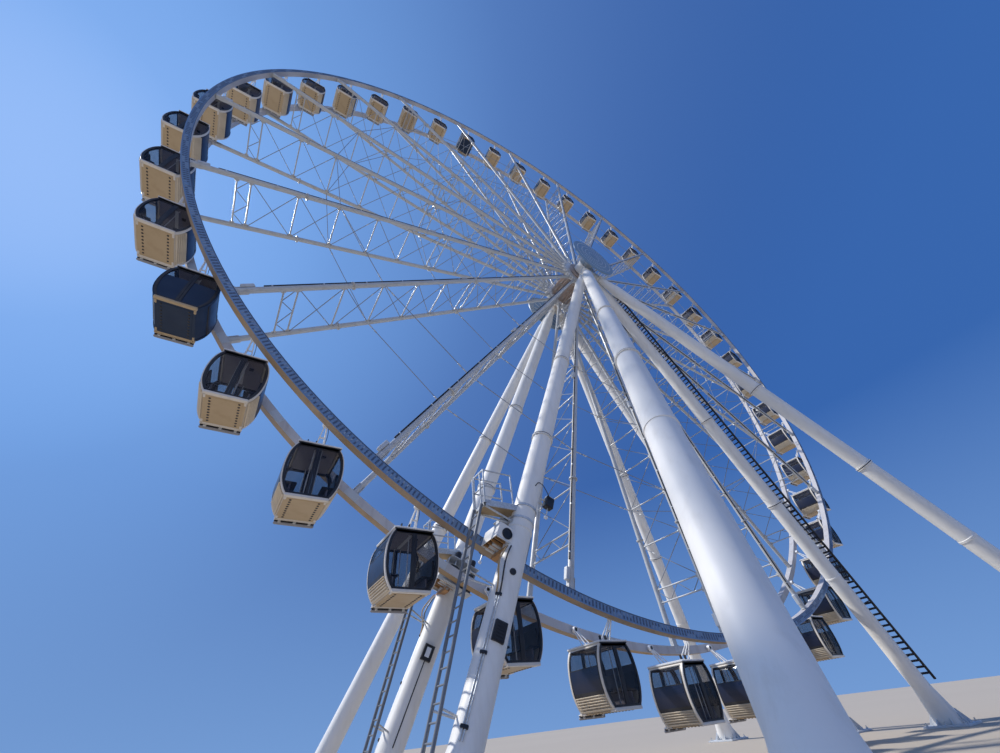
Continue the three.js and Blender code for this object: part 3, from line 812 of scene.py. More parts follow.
def add_gusset(shape, place, side):
    """Plate and cleat where a strut meets a chord."""
    shape.block((place, side * (CHORD_Y - 0.145), 0), (0.18, 0.1, 0.014), 0.003)
    shape.disc((place, side * (CHORD_Y - 0.1), 0), -Y_AXIS * side, 0.055, 0.02)


def add_cross_rods(shape, inner, outer):
    """Two tension rods crossed in one bay, with a turnbuckle on each."""
    reach = CHORD_Y - 0.12
    buckle = [(0.0, 0.0), (0.024, 0.01), (0.024, 0.13), (0.0, 0.14)]
    for way in (1, -1):
        start = np.array([inner + ROD_END_GAP, -way * reach, way * ROD_LIFT])
        end = np.array([outer - ROD_END_GAP, way * reach, way * ROD_LIFT])
        shape.tube(start, end, ROD_RADIUS, 8, tone=3)
        along = unit(end - start)
        shape.turned(start + (end - start) * 0.2 - along * 0.07, along, buckle, 8, tone=1)


def add_zigzag(shape, inner, outer):
    """Light lattice between two struts that stand close together."""
    stops = np.linspace(-CHORD_Y, CHORD_Y, ZIGZAG_BARS + 1)
    for i, (low, high) in enumerate(zip(stops, stops[1:])):
        near, far = (inner, outer) if i % 2 == 0 else (outer, inner)
        shape.tube((near, low, 0), (far, high, 0), ROD_RADIUS, 8, tone=3)


def truss_rail_shape():
    """Dark light rail and grey cable boxes along a truss."""
    shape = Shape()
    y = -CHORD_Y - 0.06
    z = -CHORD_RADIUS - 0.01
    start, end = LIGHT_RAIL_SPAN
    shape.block(((start + end) / 2, y, z), (end - start, 0.05, 0.05), 0.01)
    for place in np.arange(LIGHT_RAIL_CLIP_START, end, LIGHT_RAIL_CLIP_SPACING):
        shape.block((place, y, z + 0.01), (0.06, 0.07, 0.07), 0.01, tone=1)
    for place in CABLE_BOX_PLACES:
        shape.block((place, -CHORD_Y - 0.02, -CHORD_RADIUS - 0.06), (0.42, 0.16, 0.14), 0.014, tone=2)
    return shape


def make_trusses():
    truss = mesh_from("spoke_truss", truss_shape(), [CHORD_SHADED_WHITE, ZINC, STRUT_SHADED_WHITE, ROD_SHADED_WHITE])
    rail = mesh_from("spoke_light_rail", truss_rail_shape(), [BLACK, ZINC, GREY_PAINT])
    hub_centre = (0.0, 0.0, HUB_HEIGHT)
    for k, angle in enumerate(TRUSS_ANGLES):
        label = "%02d" % (k + 1)
        place_piece("spoke_truss_" + label, truss, "wheel", hub_centre, -angle, ["spokes"])
        place_piece("spoke_light_rail_" + label, rail, "wheel", hub_centre, -angle)


def make_ties(side, face):
    """Rings of cable that tie each truss to the next, with an end fitting at each anchor."""
    shape = Shape()
    fitting = [(0.0, 0.0), (0.035, 0.03), (0.035, 0.2), (0.0, 0.23)]
    for radius in TIE_PLACES:
        for angle in TRUSS_ANGLES:
            start = on_wheel(angle, radius, side * CHORD_Y)
            end = on_wheel(angle - 2 * CABIN_STEP, radius, side * CHORD_Y)
            along = unit(end - start)
            shape.tube(start + along * 0.1, end - along * 0.1, TIE_RADIUS, 8)
            for anchor, way in ((start, along), (end, -along)):
                shape.tube(anchor + way * 0.1, anchor + way * 0.4, 0.028, 8, tone=1)
                shape.turned(anchor + way * 0.5, way, fitting, 8, tone=1)
    # The cables take the rods' painted shade.
    make_piece("spoke_ties_" + face, shape, [ROD_SHADED_WHITE, ZINC], "wheel")


# Hub with its end discs
def make_hub():
    """Waisted drum with its two spoke rings, on the axle."""
    shape = Shape()
    centre = np.array([0.0, 0.0, HUB_HEIGHT])
    half, waist = DRUM_HALF_LENGTH, DRUM_WAIST_RADIUS
    drum = [
        (0.0, -half), (DRUM_RADIUS, -half), (DRUM_RADIUS, -half + 0.06), (waist, -half + 0.1),
        (waist, half - 0.1), (DRUM_RADIUS, half - 0.06), (DRUM_RADIUS, half), (0.0, half),
    ]
    shape.turned(centre, Y_AXIS, drum, 3 * TRUSS_COUNT, tone=1)
    for side in (-1, 1):
        shape.turned(centre, Y_AXIS, spoke_ring_profile(side), 4 * TRUSS_COUNT, closed=True)
        for angle in TRUSS_ANGLES:
            add_hub_lug(shape, angle, side)
        shape.bolts(centre + Y_AXIS * side * half, Y_AXIS * side, 0.95, 36, 0.022, 0.03, tone=2)
    for angle in TRUSS_ANGLES:
        add_drum_rib(shape, angle - CABIN_STEP)
    axle_end = DISC_FACE_Y - DISC_THICKNESS
    shape.tube(centre - Y_AXIS * axle_end, centre + Y_AXIS * axle_end, AXLE_RADIUS, 48, tone=3)
    make_piece("hub", shape, [WHITE_PAINT, HUB_PAINT, ZINC, GREY_PAINT], "wheel", ["hub"])


def spoke_ring_profile(side):
    """Closed outline of (radius, y) for the ring that one row of chords stands on."""
    low = side * CHORD_Y - SPOKE_RING_HALF_WIDTH
    high = side * CHORD_Y + SPOKE_RING_HALF_WIDTH
    outer, edge = SPOKE_RING_RADIUS, SPOKE_RING_EDGE
    return [
        (SPOKE_RING_BORE, low), (outer - edge, low), (outer, low + edge),
        (outer, high - edge), (outer - edge, high), (SPOKE_RING_BORE, high),
    ]


def add_hub_lug(shape, angle, side):
    """Pair of ears that clasp a chord's root."""
    radial, tangent = wheel_ways(angle)
    middle = on_wheel(angle, SPOKE_RING_RADIUS + 0.02, side * CHORD_Y)
    for shift in (-0.12, 0.12):
        shape.block(middle + tangent * shift, (0.34, 0.26, 0.03), 0.008, axes_of(radial, Y_AXIS, tangent))


def add_drum_rib(shape, angle):
    """Rib along the drum's waist, with three bosses beside it."""
    radial, tangent = wheel_ways(angle)
    size = (0.2, 2.0 * (CHORD_Y - 0.16), 0.04)
    shape.block(on_wheel(angle, 0.94, 0.0), size, 0.008, axes_of(radial, Y_AXIS, tangent), tone=1)
    for y in (-0.7, 0.0, 0.7):
        spot = on_wheel(angle + CABIN_STEP / 2, DRUM_WAIST_RADIUS - 0.01, y)
        shape.tube(spot, spot + radial * 0.08, 0.05, 10, tone=2)


def make_disc(side, face):
    """End disc: smooth outer face with lamp rings, ribs and arms on its inner face."""
    shape = Shape()
    centre = np.array([0.0, side * DISC_FACE_Y, HUB_HEIGHT])
    way = -Y_AXIS * side
    profile = [
        (0.0, 0.0), (DISC_STEP_RADIUS, 0.0), (1.34, 0.02), (1.86, 0.03), (DISC_RADIUS, 0.05),
        (DISC_RADIUS, DISC_THICKNESS), (1.9, DISC_THICKNESS), (1.9, 0.1), (0.66, 0.1),
        (0.62, DISC_THICKNESS), (0.62, 0.44), (0.0, 0.44),
    ]
    shape.turned(centre, way, profile, 96)
    back = centre + way * 0.12
    for k in range(DISC_RIB_COUNT):
        radial, tangent = wheel_ways(k * TWO_PI / DISC_RIB_COUNT)
        axes = axes_of(radial, Y_AXIS, tangent)
        shape.block(back + radial * 1.68, (0.42, 0.06, 0.03), 0.006, axes, tone=1)
    for k in range(DISC_ARM_COUNT):
        radial, _ = wheel_ways(k * TWO_PI / DISC_ARM_COUNT)
        shape.tube(back + radial * 0.64, back + radial * 1.4, 0.03, 8, tone=1)
    shape.bolts(centre + way * 0.1, way, 0.76, 24, 0.02, 0.03, tone=2)
    add_lamp_rings(shape, centre, side)
    make_piece("end_disc_" + face, shape, [DISC_SHADED_BLUE_GREY, GREY_PAINT, ZINC, LAMP], "wheel")


def add_lamp_rings(shape, centre, side):
    """Rings of small domed lamps on the disc's outer face."""
    way = Y_AXIS * side
    dome = [(0.0, -0.004), (0.035, -0.004), (0.03, 0.012), (0.0, 0.02)]
    for radius, count in LAMP_RINGS:
        sunk = 0.0 if radius < DISC_STEP_RADIUS else DISC_STEP_DEPTH
        for k in range(count):
            radial, _ = wheel_ways(k * TWO_PI / count)
            shape.turned(centre + radial * radius - way * sunk, way, dome, 10, tone=3)


# Stand
def leg_line(x_side, y_side, foot):
    """Both ends of a leg's axis, its direction downwards and its length."""
    top = np.array([0.0, y_side * HEAD_Y, HUB_HEIGHT])
    bottom = np.array([x_side * foot[0], y_side * foot[1], 0.0])
    return top, bottom, unit(bottom - top), float(np.linalg.norm(bottom - top))


def raised_band(place, half, lift):
    """Profile points of a collar that stands proud of a leg."""
    edge = 0.012
    return [
        (LEG_RADIUS, place - half - edge), (LEG_RADIUS + lift, place - half),
        (LEG_RADIUS + lift, place + half), (LEG_RADIUS, place + half + edge),
    ]


def leg_profile(length):
    """(radius, distance) from the bearing head to the ground, with the joints' collars."""
    profile = [(0.0, LEG_TOP), (LEG_TOP_RADIUS, LEG_TOP), (LEG_RADIUS, LEG_TAPER_END)]
    for share in LEG_JOINT_SHARES:
        profile += joint_rings(share * length)
    profile += raised_band(LEG_COLLAR_SHARE * length, 0.04, 0.02)
    below = length + 0.1
    return profile + [
        (LEG_RADIUS, length - LEG_SKIRT_LENGTH), (LEG_SKIRT_RADIUS, length - 0.12),
        (LEG_SKIRT_RADIUS, below), (0.0, below),
    ]


def joint_rings(place):
    """Two flanges with a gap between them."""
    proud, sunk = LEG_RADIUS + LEG_JOINT_LIFT, LEG_RADIUS - 0.02
    half, gap = LEG_JOINT_HALF, LEG_JOINT_GAP_HALF
    return [
        (LEG_RADIUS, place - half), (proud, place - half), (proud, place - gap), (sunk, place - gap),
        (sunk, place + gap), (proud, place + gap), (proud, place + half), (LEG_RADIUS, place + half),
    ]


def make_leg(face, kind, hand, x_side, y_side, foot):
    name = "leg_%s_%s_%s" % (face, kind, hand)
    top, bottom, axis, length = leg_line(x_side, y_side, foot)
    shape = Shape()
    shape.turned(top, axis, leg_profile(length), LEG_SIDES)
    flatten_below_ground(shape)
    add_leg_base(shape, bottom)
    for share in LEG_JOINT_SHARES:
        add_leg_joint(shape, top + axis * (share * length), axis)
    materials = [LEG_PAINT, ZINC, GREY_PAINT, BLACK]
    make_piece(name, shape, materials, "stand", [name], crease=30.0)


def flatten_below_ground(shape):
    """Cuts the skirt off just above the ground."""
    for points in shape.points:
        np.maximum(points[:, 2], 0.002, out=points[:, 2])


def add_leg_base(shape, bottom):
    """Base plate with anchor bolts, and gussets up the skirt."""
    x, y, _ = bottom
    thickness = BASE_PLATE_THICKNESS
    shape.block((x, y, thickness / 2), (BASE_PLATE_SIZE, BASE_PLATE_SIZE, thickness), 0.01, tone=2)
    steps = (-ANCHOR_REACH, 0.0, ANCHOR_REACH)
    for spot_x, spot_y in [(a, b) for a in steps for b in steps if a or b]:
        spot = np.array([x + spot_x, y + spot_y, thickness])
        shape.tube(spot, spot + Z_AXIS * 0.05, 0.06, 6, tone=1)
        shape.tube(spot, spot + Z_AXIS * 0.12, 0.03, 10, tone=1)
    reach = BASE_PLATE_SIZE / 2 - 0.1
    outline = [(0.4, 0.0), (reach, 0.0), (reach, 0.06), (0.46, 0.5), (0.4, 0.5)]
    for k in range(GUSSET_COUNT):
        angle = (k + 0.5) * TWO_PI / GUSSET_COUNT
        way = np.array([math.cos(angle), math.sin(angle), 0.0])
        axes = axes_of(way, Z_AXIS, np.cross(Z_AXIS, way))
        shape.prism(outline, -0.015, 0.015, (x, y, thickness), axes, tone=2)


def add_leg_joint(shape, centre, axis):
    """Black ring filling a joint's gap as painted shade, and the bolts of its two flanges."""
    low, high, half = LEG_RADIUS - 0.03, LEG_RADIUS + 0.038, LEG_JOINT_GAP_HALF + 0.002
    gap_shade_ring = [(low, -half), (high, -half), (high, half), (low, half)]
    shape.turned(centre, axis, gap_shade_ring, LEG_SIDES, tone=3, closed=True)
    for way in (-axis, axis):
        shape.bolts(centre + way * LEG_JOINT_HALF, way, LEG_RADIUS + 0.024, 24, 0.012, 0.025, tone=1)


def make_head(side, face):
    """Bearing head: ribbed barrel with bolted caps and four stubs for the legs."""
    name = "bearing_head_" + face
    shape = Shape()
    centre = np.array([0.0, side * HEAD_Y, HUB_HEIGHT])
    half = HEAD_LENGTH / 2
    bore, outer, waist = AXLE_RADIUS + 0.012, HEAD_RADIUS, HEAD_RADIUS - 0.05
    barrel = [
        (bore, -half), (outer, -half), (outer, -half + 0.08), (waist, -half + 0.1),
        (waist, half - 0.1), (outer, half - 0.08), (outer, half), (bore, half),
    ]
    shape.turned(centre, Y_AXIS, barrel, 48, closed=True)
    for way in (-Y_AXIS, Y_AXIS):
        shape.bolts(centre + way * half, way, 0.6, 20, 0.022, 0.028, tone=1)
    for x_side in (-1, 1):
        for foot in (INNER_FOOT, OUTER_FOOT):
            add_leg_stub(shape, x_side, side, foot)
    make_piece(name, shape, [LEG_PAINT, ZINC], "stand", [name])


def add_leg_stub(shape, x_side, side, foot):
    """Tapered stub on a bearing head, with a bolted collar where the leg starts."""
    top, _, axis, _ = leg_line(x_side, side, foot)
    radius, collar, place = LEG_TOP_RADIUS, LEG_TOP_RADIUS + 0.06, STUB_COLLAR_PLACE
    profile = [
        (0.0, 0.5), (0.27, 0.5), (radius, 0.8), (radius, place - 0.02), (collar, place),
        (collar, place + 0.08), (radius, place + 0.1), (0.0, place + 0.1),
    ]
    shape.turned(top, axis, profile, 32)
    shape.bolts(top + axis * place, -axis, radius + 0.04, 16, 0.014, 0.02, tone=1)


# Cabins: X across, Y along the axle, Z up from the pivot
def cabin_side(inset, top, bottom, count):
    """Points down the right side of a cabin, moved in from its outline."""
    curve = smooth_curve(CABIN_CURVE, 6)
    ways = np.gradient(curve, axis=0)
    ways /= np.linalg.norm(ways, axis=1)[:, None]
    moved = curve - inset * np.stack([-ways[:, 1], ways[:, 0]], axis=1)
    heights = np.linspace(top, bottom, count)
    return np.stack([np.interp(-heights, -moved[:, 1], moved[:, 0]), heights], axis=1)


def cabin_loop(inset):
    """Closed outline of a cabin's end, moved in from its edge."""
    right = cabin_side(inset, CABIN_TOP - inset, CABIN_BOTTOM + inset, CABIN_SIDE_POINTS)
    left = right[::-1] * (-1, 1)
    return np.concatenate([right, left])


def flat_ring(loop, y):
    return np.array([(x, y, z) for x, z in loop])


def side_section(x_side, span, offset, thickness, count):
    """Closed outline of a curved panel, as a slice through a cabin's side."""
    outer = cabin_side(-offset, span[0], span[1], count)
    inner = cabin_side(thickness - offset, span[0], span[1], count)[::-1]
    section = np.concatenate([outer, inner]) * (x_side, 1)
    return section if x_side > 0 else section[::-1]


def add_side_strip(shape, x_side, span, reach_y, offset, thickness, tone=0, count=7):
    """Curved panel on a cabin's side, between two heights."""
    section = side_section(x_side, span, offset, thickness, count)
    shape.rings([flat_ring(section, -reach_y), flat_ring(section, reach_y)], tone)


def cabin_shell_shape(ribbed):
    """Moulded end frames, side strips, louvres if asked, lips and underside."""
    shape = Shape()
    for side in (-1, 1):
        add_end_frame(shape, side)
        add_end_lip(shape, side)
    for x_side in (-1, 1):
        add_side_strip(shape, x_side, (LOWER_SIDE_TOP, CABIN_BOTTOM), 0.68, -0.02, 0.03, tone=3)
        add_side_strip(shape, x_side, (CABIN_TOP, SIDE_GLASS[0] + 0.01), 0.68, 0.0, 0.05, count=3)
        if ribbed:
            add_louvres(shape, x_side)
    add_underside(shape)
    return shape


def add_underside(shape):
    """Pan with a raised panel and a row of dark rivets at each side."""
    # On cream cabins the pan and its raised panel take the painted warm bounce.
    shape.block((0.0, 0.0, CABIN_BOTTOM - 0.012), (1.06, 2 * CABIN_HALF_LENGTH - 0.02, 0.03), 0.008, tone=1)
    level = CABIN_BOTTOM - 0.029
    shape.block((0.0, 0.0, level), (0.88, 1.24, 0.012), 0.004, tone=1)
    rivet = [(0.0, 0.0), (0.036, 0.0), (0.028, 0.012), (0.0, 0.015)]
    for x in (-0.36, 0.36):
        for y in np.linspace(-0.56, 0.56, 9):
            shape.turned(np.array([x, y, level - 0.006]), -Z_AXIS, rivet, 8, tone=2)


def add_end_frame(shape, side):
    """Moulded frame round one glazed end of a cabin."""
    rim, back, depth = 0.036, 0.09, 0.012
    face = side * CABIN_HALF_LENGTH
    rings = [
        flat_ring(cabin_loop(depth), face),
        flat_ring(cabin_loop(0.0), face - side * depth),
        flat_ring(cabin_loop(0.0), face - side * back),
        flat_ring(cabin_loop(rim), face - side * back),
        flat_ring(cabin_loop(rim), face),
    ]
    shape.rings(rings, closed=True)


def add_end_lip(shape, side):
    """Moulded lip along an end's lower edge, returned a short way along the sides."""
    shape.block((0.0, side * 0.75, CABIN_BOTTOM + 0.003), (1.1, 0.12, 0.085), 0.014, tone=4)
    for x in (-0.5, 0.5):
        shape.block((x, side * 0.64, CABIN_BOTTOM - 0.007), (0.06, 0.2, 0.065), 0.012, tone=4)


def add_louvres(shape, x_side):
    """Raised ribs along the lower side."""
    for height in np.linspace(SIDE_LOUVRES[0], SIDE_LOUVRES[1], 6):
        x = cabin_side(-0.004, height, height, 1)[0][0] * x_side
        shape.block((x, 0.0, height), (0.05, 1.3, 0.026), 0.009, tone=3)


def cabin_glass_shape(filmed):
    """Bulged end panes and curved side panes, the lower end panes under dark film if asked."""
    shape = Shape()
    for side in (-1, 1):
        if filmed:
            add_end_pane(shape, side, GLASS_TOP, FILM_TOP)
            add_end_pane(shape, side, FILM_TOP, GLASS_BOTTOM, tone=1)
        else:
            add_end_pane(shape, side, GLASS_TOP, GLASS_BOTTOM)
    for x_side in (-1, 1):
        add_side_strip(shape, x_side, (SIDE_GLASS[0] - 0.005, SIDE_GLASS[1] + 0.005), 0.66, -0.004, 0.012)
    return shape


def glass_swell(height):
    """How far the middle of an end pane stands out at a height."""
    up = (height - GLASS_TOP) / (GLASS_BOTTOM - GLASS_TOP)
    return GLASS_BULGE * 4 * up * (1 - up)


def add_end_pane(shape, side, top, bottom, tone=0):
    """Closed pane whose middle stands further out than its edge."""
    heights = np.linspace(top, bottom, PANE_ROWS)
    halves = cabin_side(0.07, top, bottom, PANE_ROWS)[:, 0]
    points = []
    for depth in (0.0, PANE_THICKNESS):
        for height, half in zip(heights, halves):
            for x in np.linspace(-1.0, 1.0, PANE_COLUMNS):
                y = CABIN_HALF_LENGTH - 0.005 - depth + glass_swell(height) * (1 - x * x)
                points.append((x * half, side * y, height))
    shape.add(points, pane_faces(), tone)


def pane_faces():
    """Faces of a pane's two grids of points and of the edge between them."""
    wide, count = PANE_COLUMNS, PANE_ROWS * PANE_COLUMNS
    faces = []
    for r in range(PANE_ROWS - 1):
        for c in range(wide - 1):
            a = r * wide + c
            outer = (a, a + 1, a + wide + 1, a + wide)
            faces.append(outer)
            faces.append(tuple(index + count for index in outer[::-1]))
    edge = list(range(wide)) + [r * wide + wide - 1 for r in range(1, PANE_ROWS)]
    edge += list(range(count - 2, count - wide - 1, -1)) + [r * wide for r in range(PANE_ROWS - 2, 0, -1)]
    for a, b in zip(edge, edge[1:] + edge[:1]):
        faces.append((b, a, a + count, b + count))
    return faces


def cabin_trim_shape():
    """Black gaskets, door stiles, dark side panels and their borders."""
    shape = Shape()
    for side in (-1, 1):
        face = side * (CABIN_HALF_LENGTH + 0.015)
        back = side * (CABIN_HALF_LENGTH - 0.05)
        rings = [
            flat_ring(cabin_loop(0.1), face), flat_ring(cabin_loop(0.034), face),
            flat_ring(cabin_loop(0.03), face - side * 0.008), flat_ring(cabin_loop(0.03), back),
            flat_ring(cabin_loop(0.1), back),
        ]
        shape.rings(rings, closed=True)
        shape.block((0.0, side * CABIN_HALF_LENGTH, -0.735), (1.08, 0.03, 0.09), 0.006)
        shape.block((0.0, side * (CABIN_HALF_LENGTH + 0.005), -2.205), (1.1, 0.035, 0.05), 0.006)
        add_stiles(shape, side)
    for x_side in (-1, 1):
        add_side_strip(shape, x_side, SIDE_PANEL, 0.66, 0.0, 0.03, tone=1)
        for top, bottom, offset, thickness in (
            (SIDE_GLASS[1], SIDE_PANEL[0], 0.004, 0.03), (SIDE_PANEL[1] + 0.03, -1.9, 0.006, 0.035),
            (SIDE_GLASS[0] + 0.02, SIDE_GLASS[0] - 0.01, 0.004, 0.03),
        ):
            add_side_strip(shape, x_side, (top, bottom), 0.67, offset, thickness, count=3)
        for y in (-0.665, 0.665):
            add_corner_strip(shape, x_side, y)
    return shape


def add_corner_strip(shape, x_side, y):
    """Dark strip down a cabin's corner, beside its end frame."""
    section = side_section(x_side, (SIDE_GLASS[0], LOWER_SIDE_TOP), 0.003, 0.043, 9)
    shape.rings([flat_ring(section, y - 0.025), flat_ring(section, y + 0.025)])


def add_stiles(shape, side):
    """Meeting stiles of the sliding doors, following the glass outwards."""
    heights = np.linspace(GLASS_TOP - 0.01, GLASS_BOTTOM + 0.01, 7)
    half = 0.034
    for x in (-0.038, 0.038):
        rings = []
        for height in heights:
            y = side * (CABIN_HALF_LENGTH + glass_swell(height))
            low, high = y - side * 0.02, y + side * 0.014
            corners = [(x - half, low), (x + half, low), (x + half, high), (x - half, high)]
            ring = [(cx, cy, height) for cx, cy in corners]
            rings.append(np.array(ring if side > 0 else ring[::-1]))
        shape.rings(rings[::-1])


def cabin_roof_shape():
    """Crowned roof slab with its drip edge, two small fins and an air box."""
    shape = Shape()
    half_x, half_y = ROOF_SIZE[0] / 2, ROOF_SIZE[1] / 2
    levels = [
        (0.03, CABIN_TOP), (0.0, CABIN_TOP + 0.012), (0.0, ROOF_TOP - 0.015),
        (0.02, ROOF_TOP), (0.2, ROOF_TOP + 0.025), (0.4, ROOF_TOP + 0.035),
    ]
    rings = []
    for inset, height in levels:
        x, y = half_x - inset, half_y - inset
        rings.append(np.array([(x, -y, height), (x, y, height), (-x, y, height), (-x, -y, height)]))
    shape.rings(rings)
    for side in (-1, 1):
        shape.block((0.0, side * (half_y - 0.025), CABIN_TOP - 0.014), (1.18, 0.03, 0.034), 0.004, tone=1)
    for x in (-0.35, -0.12):
        shape.block((x, -0.6, ROOF_TOP + 0.075), (0.03, 0.09, 0.15), 0.006, tone=1)
    shape.block((0.3, 0.35, ROOF_TOP + 0.05), (0.26, 0.34, 0.06), 0.015)
    return shape


def cabin_hanger_shape():
    """Slender frames of four bars, from the roof to the pins that hang the cabin on the rims."""
    shape = Shape()
    pin_end = RIM_INNER_Y - 0.003
    for side in (-1, 1):
        eye = np.array([0.0, side * 0.84, 0.0])
        for spread in (-1, 1):
            for foot_y, head_y in ((0.5, 0.92), (0.3, 0.86)):
                foot = np.array([spread * 0.12, side * foot_y, -0.62])
                head = np.array([spread * 0.03, side * head_y, -0.04])
                along = unit(head - foot)
                axes = axes_of(np.cross(Y_AXIS, along), Y_AXIS, along)
                shape.block((foot + head) / 2, (0.04, 0.05, np.linalg.norm(head - foot)), 0.008, axes)
        shape.block((0.0, side * 0.68, -0.34), (0.16, 0.04, 0.05), 0.008)
        shape.disc(eye, Y_AXIS * side, 0.1, 0.12, 20)
        shape.tube(eye, (0.0, side * pin_end, 0.0), 0.06, 16, tone=1)
        shape.block((0.0, side * 0.41, -0.605), (0.36, 0.34, 0.03), 0.006)
        for x in (-0.155, 0.155):
            for y in (0.29, 0.53):
                spot = np.array([x, side * y, -0.59])
                shape.tube(spot, spot + Z_AXIS * 0.02, 0.018, 6, tone=1)
    cable = [(0.08, -0.4, -0.6), (0.13, -0.5, -0.42), (0.13, -0.72, -0.2), (0.07, -0.86, -0.02)]
    shape.sweep(smooth_curve(cable, 5), 0.009, 6, tone=2)
    return shape


def cabin_bumper_shape():
    """Buffer along the boarding side's lower edge: thin pale capping, a black strip as painted shade in the
    gap below it, and ribbed rubber.
    """
    shape = Shape()
    shape.block((0.0, 0.84, -2.29), (1.08, 0.1, 0.03), 0.008)
    # Black strip: painted shade in the gap between capping and rubber.
    shape.block((0.0, 0.85, -2.32), (1.06, 0.06, 0.03), tone=3)
    shape.block((0.0, 0.88, -2.368), (1.08, 0.11, 0.075), 0.028, tone=1)
    for x in (-0.4, 0.0, 0.4):
        shape.block((x, 0.83, -2.34), (0.08, 0.06, 0.07), 0.006, tone=2)
    return shape


def cabin_interior_shape():
    """Floor, two benches, four poles, and a ceiling with a light strip and a control box."""
    shape = Shape()
    shape.block((0.0, 0.0, -2.23), (0.9, 1.44, 0.03))
    shape.block((0.0, 0.0, -0.715), (1.04, 1.44, 0.03), 0.004, tone=1)
    shape.block((0.0, 0.0, -0.738), (0.1, 1.1, 0.018), 0.004, tone=2)
    shape.block((0.22, -0.3, -0.75), (0.12, 0.1, 0.05), 0.008)
    for x_side in (-1, 1):
        shape.block((x_side * 0.5, 0.0, -1.86), (0.36, 1.3, 0.05), 0.015)
        shape.block((x_side * 0.655, 0.0, -1.62), (0.05, 1.3, 0.44), 0.015)
        shape.block((x_side * 0.48, 0.0, -2.04), (0.04, 1.2, 0.34), 0.006, tone=1)
    for x in (-0.1, 0.1):
        for y in (-0.6, 0.6):
            shape.tube((x, y, -2.2), (x, y, -0.75), 0.014, 8, tone=2)
    return shape


def make_cabins():
    cream = [CREAM_FRAME, UNDERSIDE_WARM_BOUNCE, BLACK, CREAM, CREAM_FRAME]
    # The navy cabins' end lips take the undersides' painted warm bounce.
    navy = [NAVY, NAVY, BLACK, NAVY, UNDERSIDE_WARM_BOUNCE]
    shells = {
        "cream": mesh_from("cabin_shell_cream", cabin_shell_shape(True), cream),
        "navy": mesh_from("cabin_shell_navy", cabin_shell_shape(False), navy),
    }
    panes = {
        "cream": mesh_from("cabin_glass", cabin_glass_shape(False), [GLASS, NAVY]),
        "navy": mesh_from("cabin_filmed_glass", cabin_glass_shape(True), [GLASS, NAVY]),
    }
    shared = {
        "trim": (cabin_trim_shape(), [BLACK, SIDE_BLACK], "black_trim"),
        "roof": (cabin_roof_shape(), [ROOF_GREY, BLACK], "grey_paint"),
        "hanger": (cabin_hanger_shape(), [WHITE_PAINT, ZINC, BLACK], "white_paint"),
        "bumper": (cabin_bumper_shape(), [LEG_PAINT, BUMPER, ZINC, BLACK], "bumper_grey"),
        "interior": (cabin_interior_shape(), [BLACK, CEILING, ROOF_GREY], "black_trim"),
    }
    meshes = {}
    for part, (shape, materials, _) in shared.items():
        meshes[part] = mesh_from("cabin_" + part, shape, materials)
    for k, angle in enumerate(PIVOT_ANGLES):
        body = "cabin_%02d" % (k + 1)
        kind = "navy" if k in NAVY_CABINS else "cream"
        where = on_wheel(angle, PIVOT_RADIUS, 0.0)
        place_piece(body + "_shell", shells[kind], body, where, stands_for=[body])
        place_piece(body + "_glass", panes[kind], body, where)
        for part, (_, _, slot) in shared.items():
            place_piece("%s_%s" % (body, part), meshes[part], body, where)


# Fittings of the inner legs
def leg_frame(y_side, distance):
    """Axes at a place along a left inner leg: X across it, Z up along it, with Y left as it is."""
    top, _, axis, _ = leg_line(-1, y_side, INNER_FOOT)
    place = top + axis * distance
    up = unit(np.array([-axis[0], 0.0, -axis[2]]))
    matrix = np.eye(4)
    matrix[:3, 0] = np.cross(Y_AXIS, up)
    matrix[:3, 2] = up
    matrix[:3, 3] = (place[0], 0.0, place[2])
    return matrix


def side_block(shape, side, x, y, z, bevel=0.004, tone=0):
    """Box from ranges along X, Y and Z, its Y range given from the wheel's middle outwards."""
    centre = ((x[0] + x[1]) / 2, side * (y[0] + y[1]) / 2, (z[0] + z[1]) / 2)
    shape.block(centre, (x[1] - x[0], y[1] - y[0], z[1] - z[0]), bevel, tone=tone)


def make_drive_unit(side, face):
    """Two tyres pressed on the rim, their frame and motors, and the cover over them."""
    name = "drive_unit_" + face
    shape = Shape()
    shape.place = leg_frame(side, DRIVE_PLACE)
    half = CARRIER_HALF_WIDTH
    for z in (-CARRIER_HALF_HEIGHT, CARRIER_HALF_HEIGHT - 0.025):
        side_block(shape, side, (-half, half), CARRIER_Y, (z, z + 0.025))
    for x in (-half, -0.012, half - 0.025):
        side_block(shape, side, (x, x + 0.025), (1.62, CARRIER_Y[1]), (-0.42, 0.42))
    side_block(shape, side, (-half, half), (1.86, 1.9), (-0.42, 0.42))
    for x in (-TYRE_SPACING / 2, TYRE_SPACING / 2):
        add_tyre(shape, side, x)
    add_cover(shape, side)
    materials = [GREY_PAINT, TYRE, ZINC, BLACK, MACHINE_ORANGE, LEG_PAINT]
    make_piece(name, shape, materials, "stand", [name])


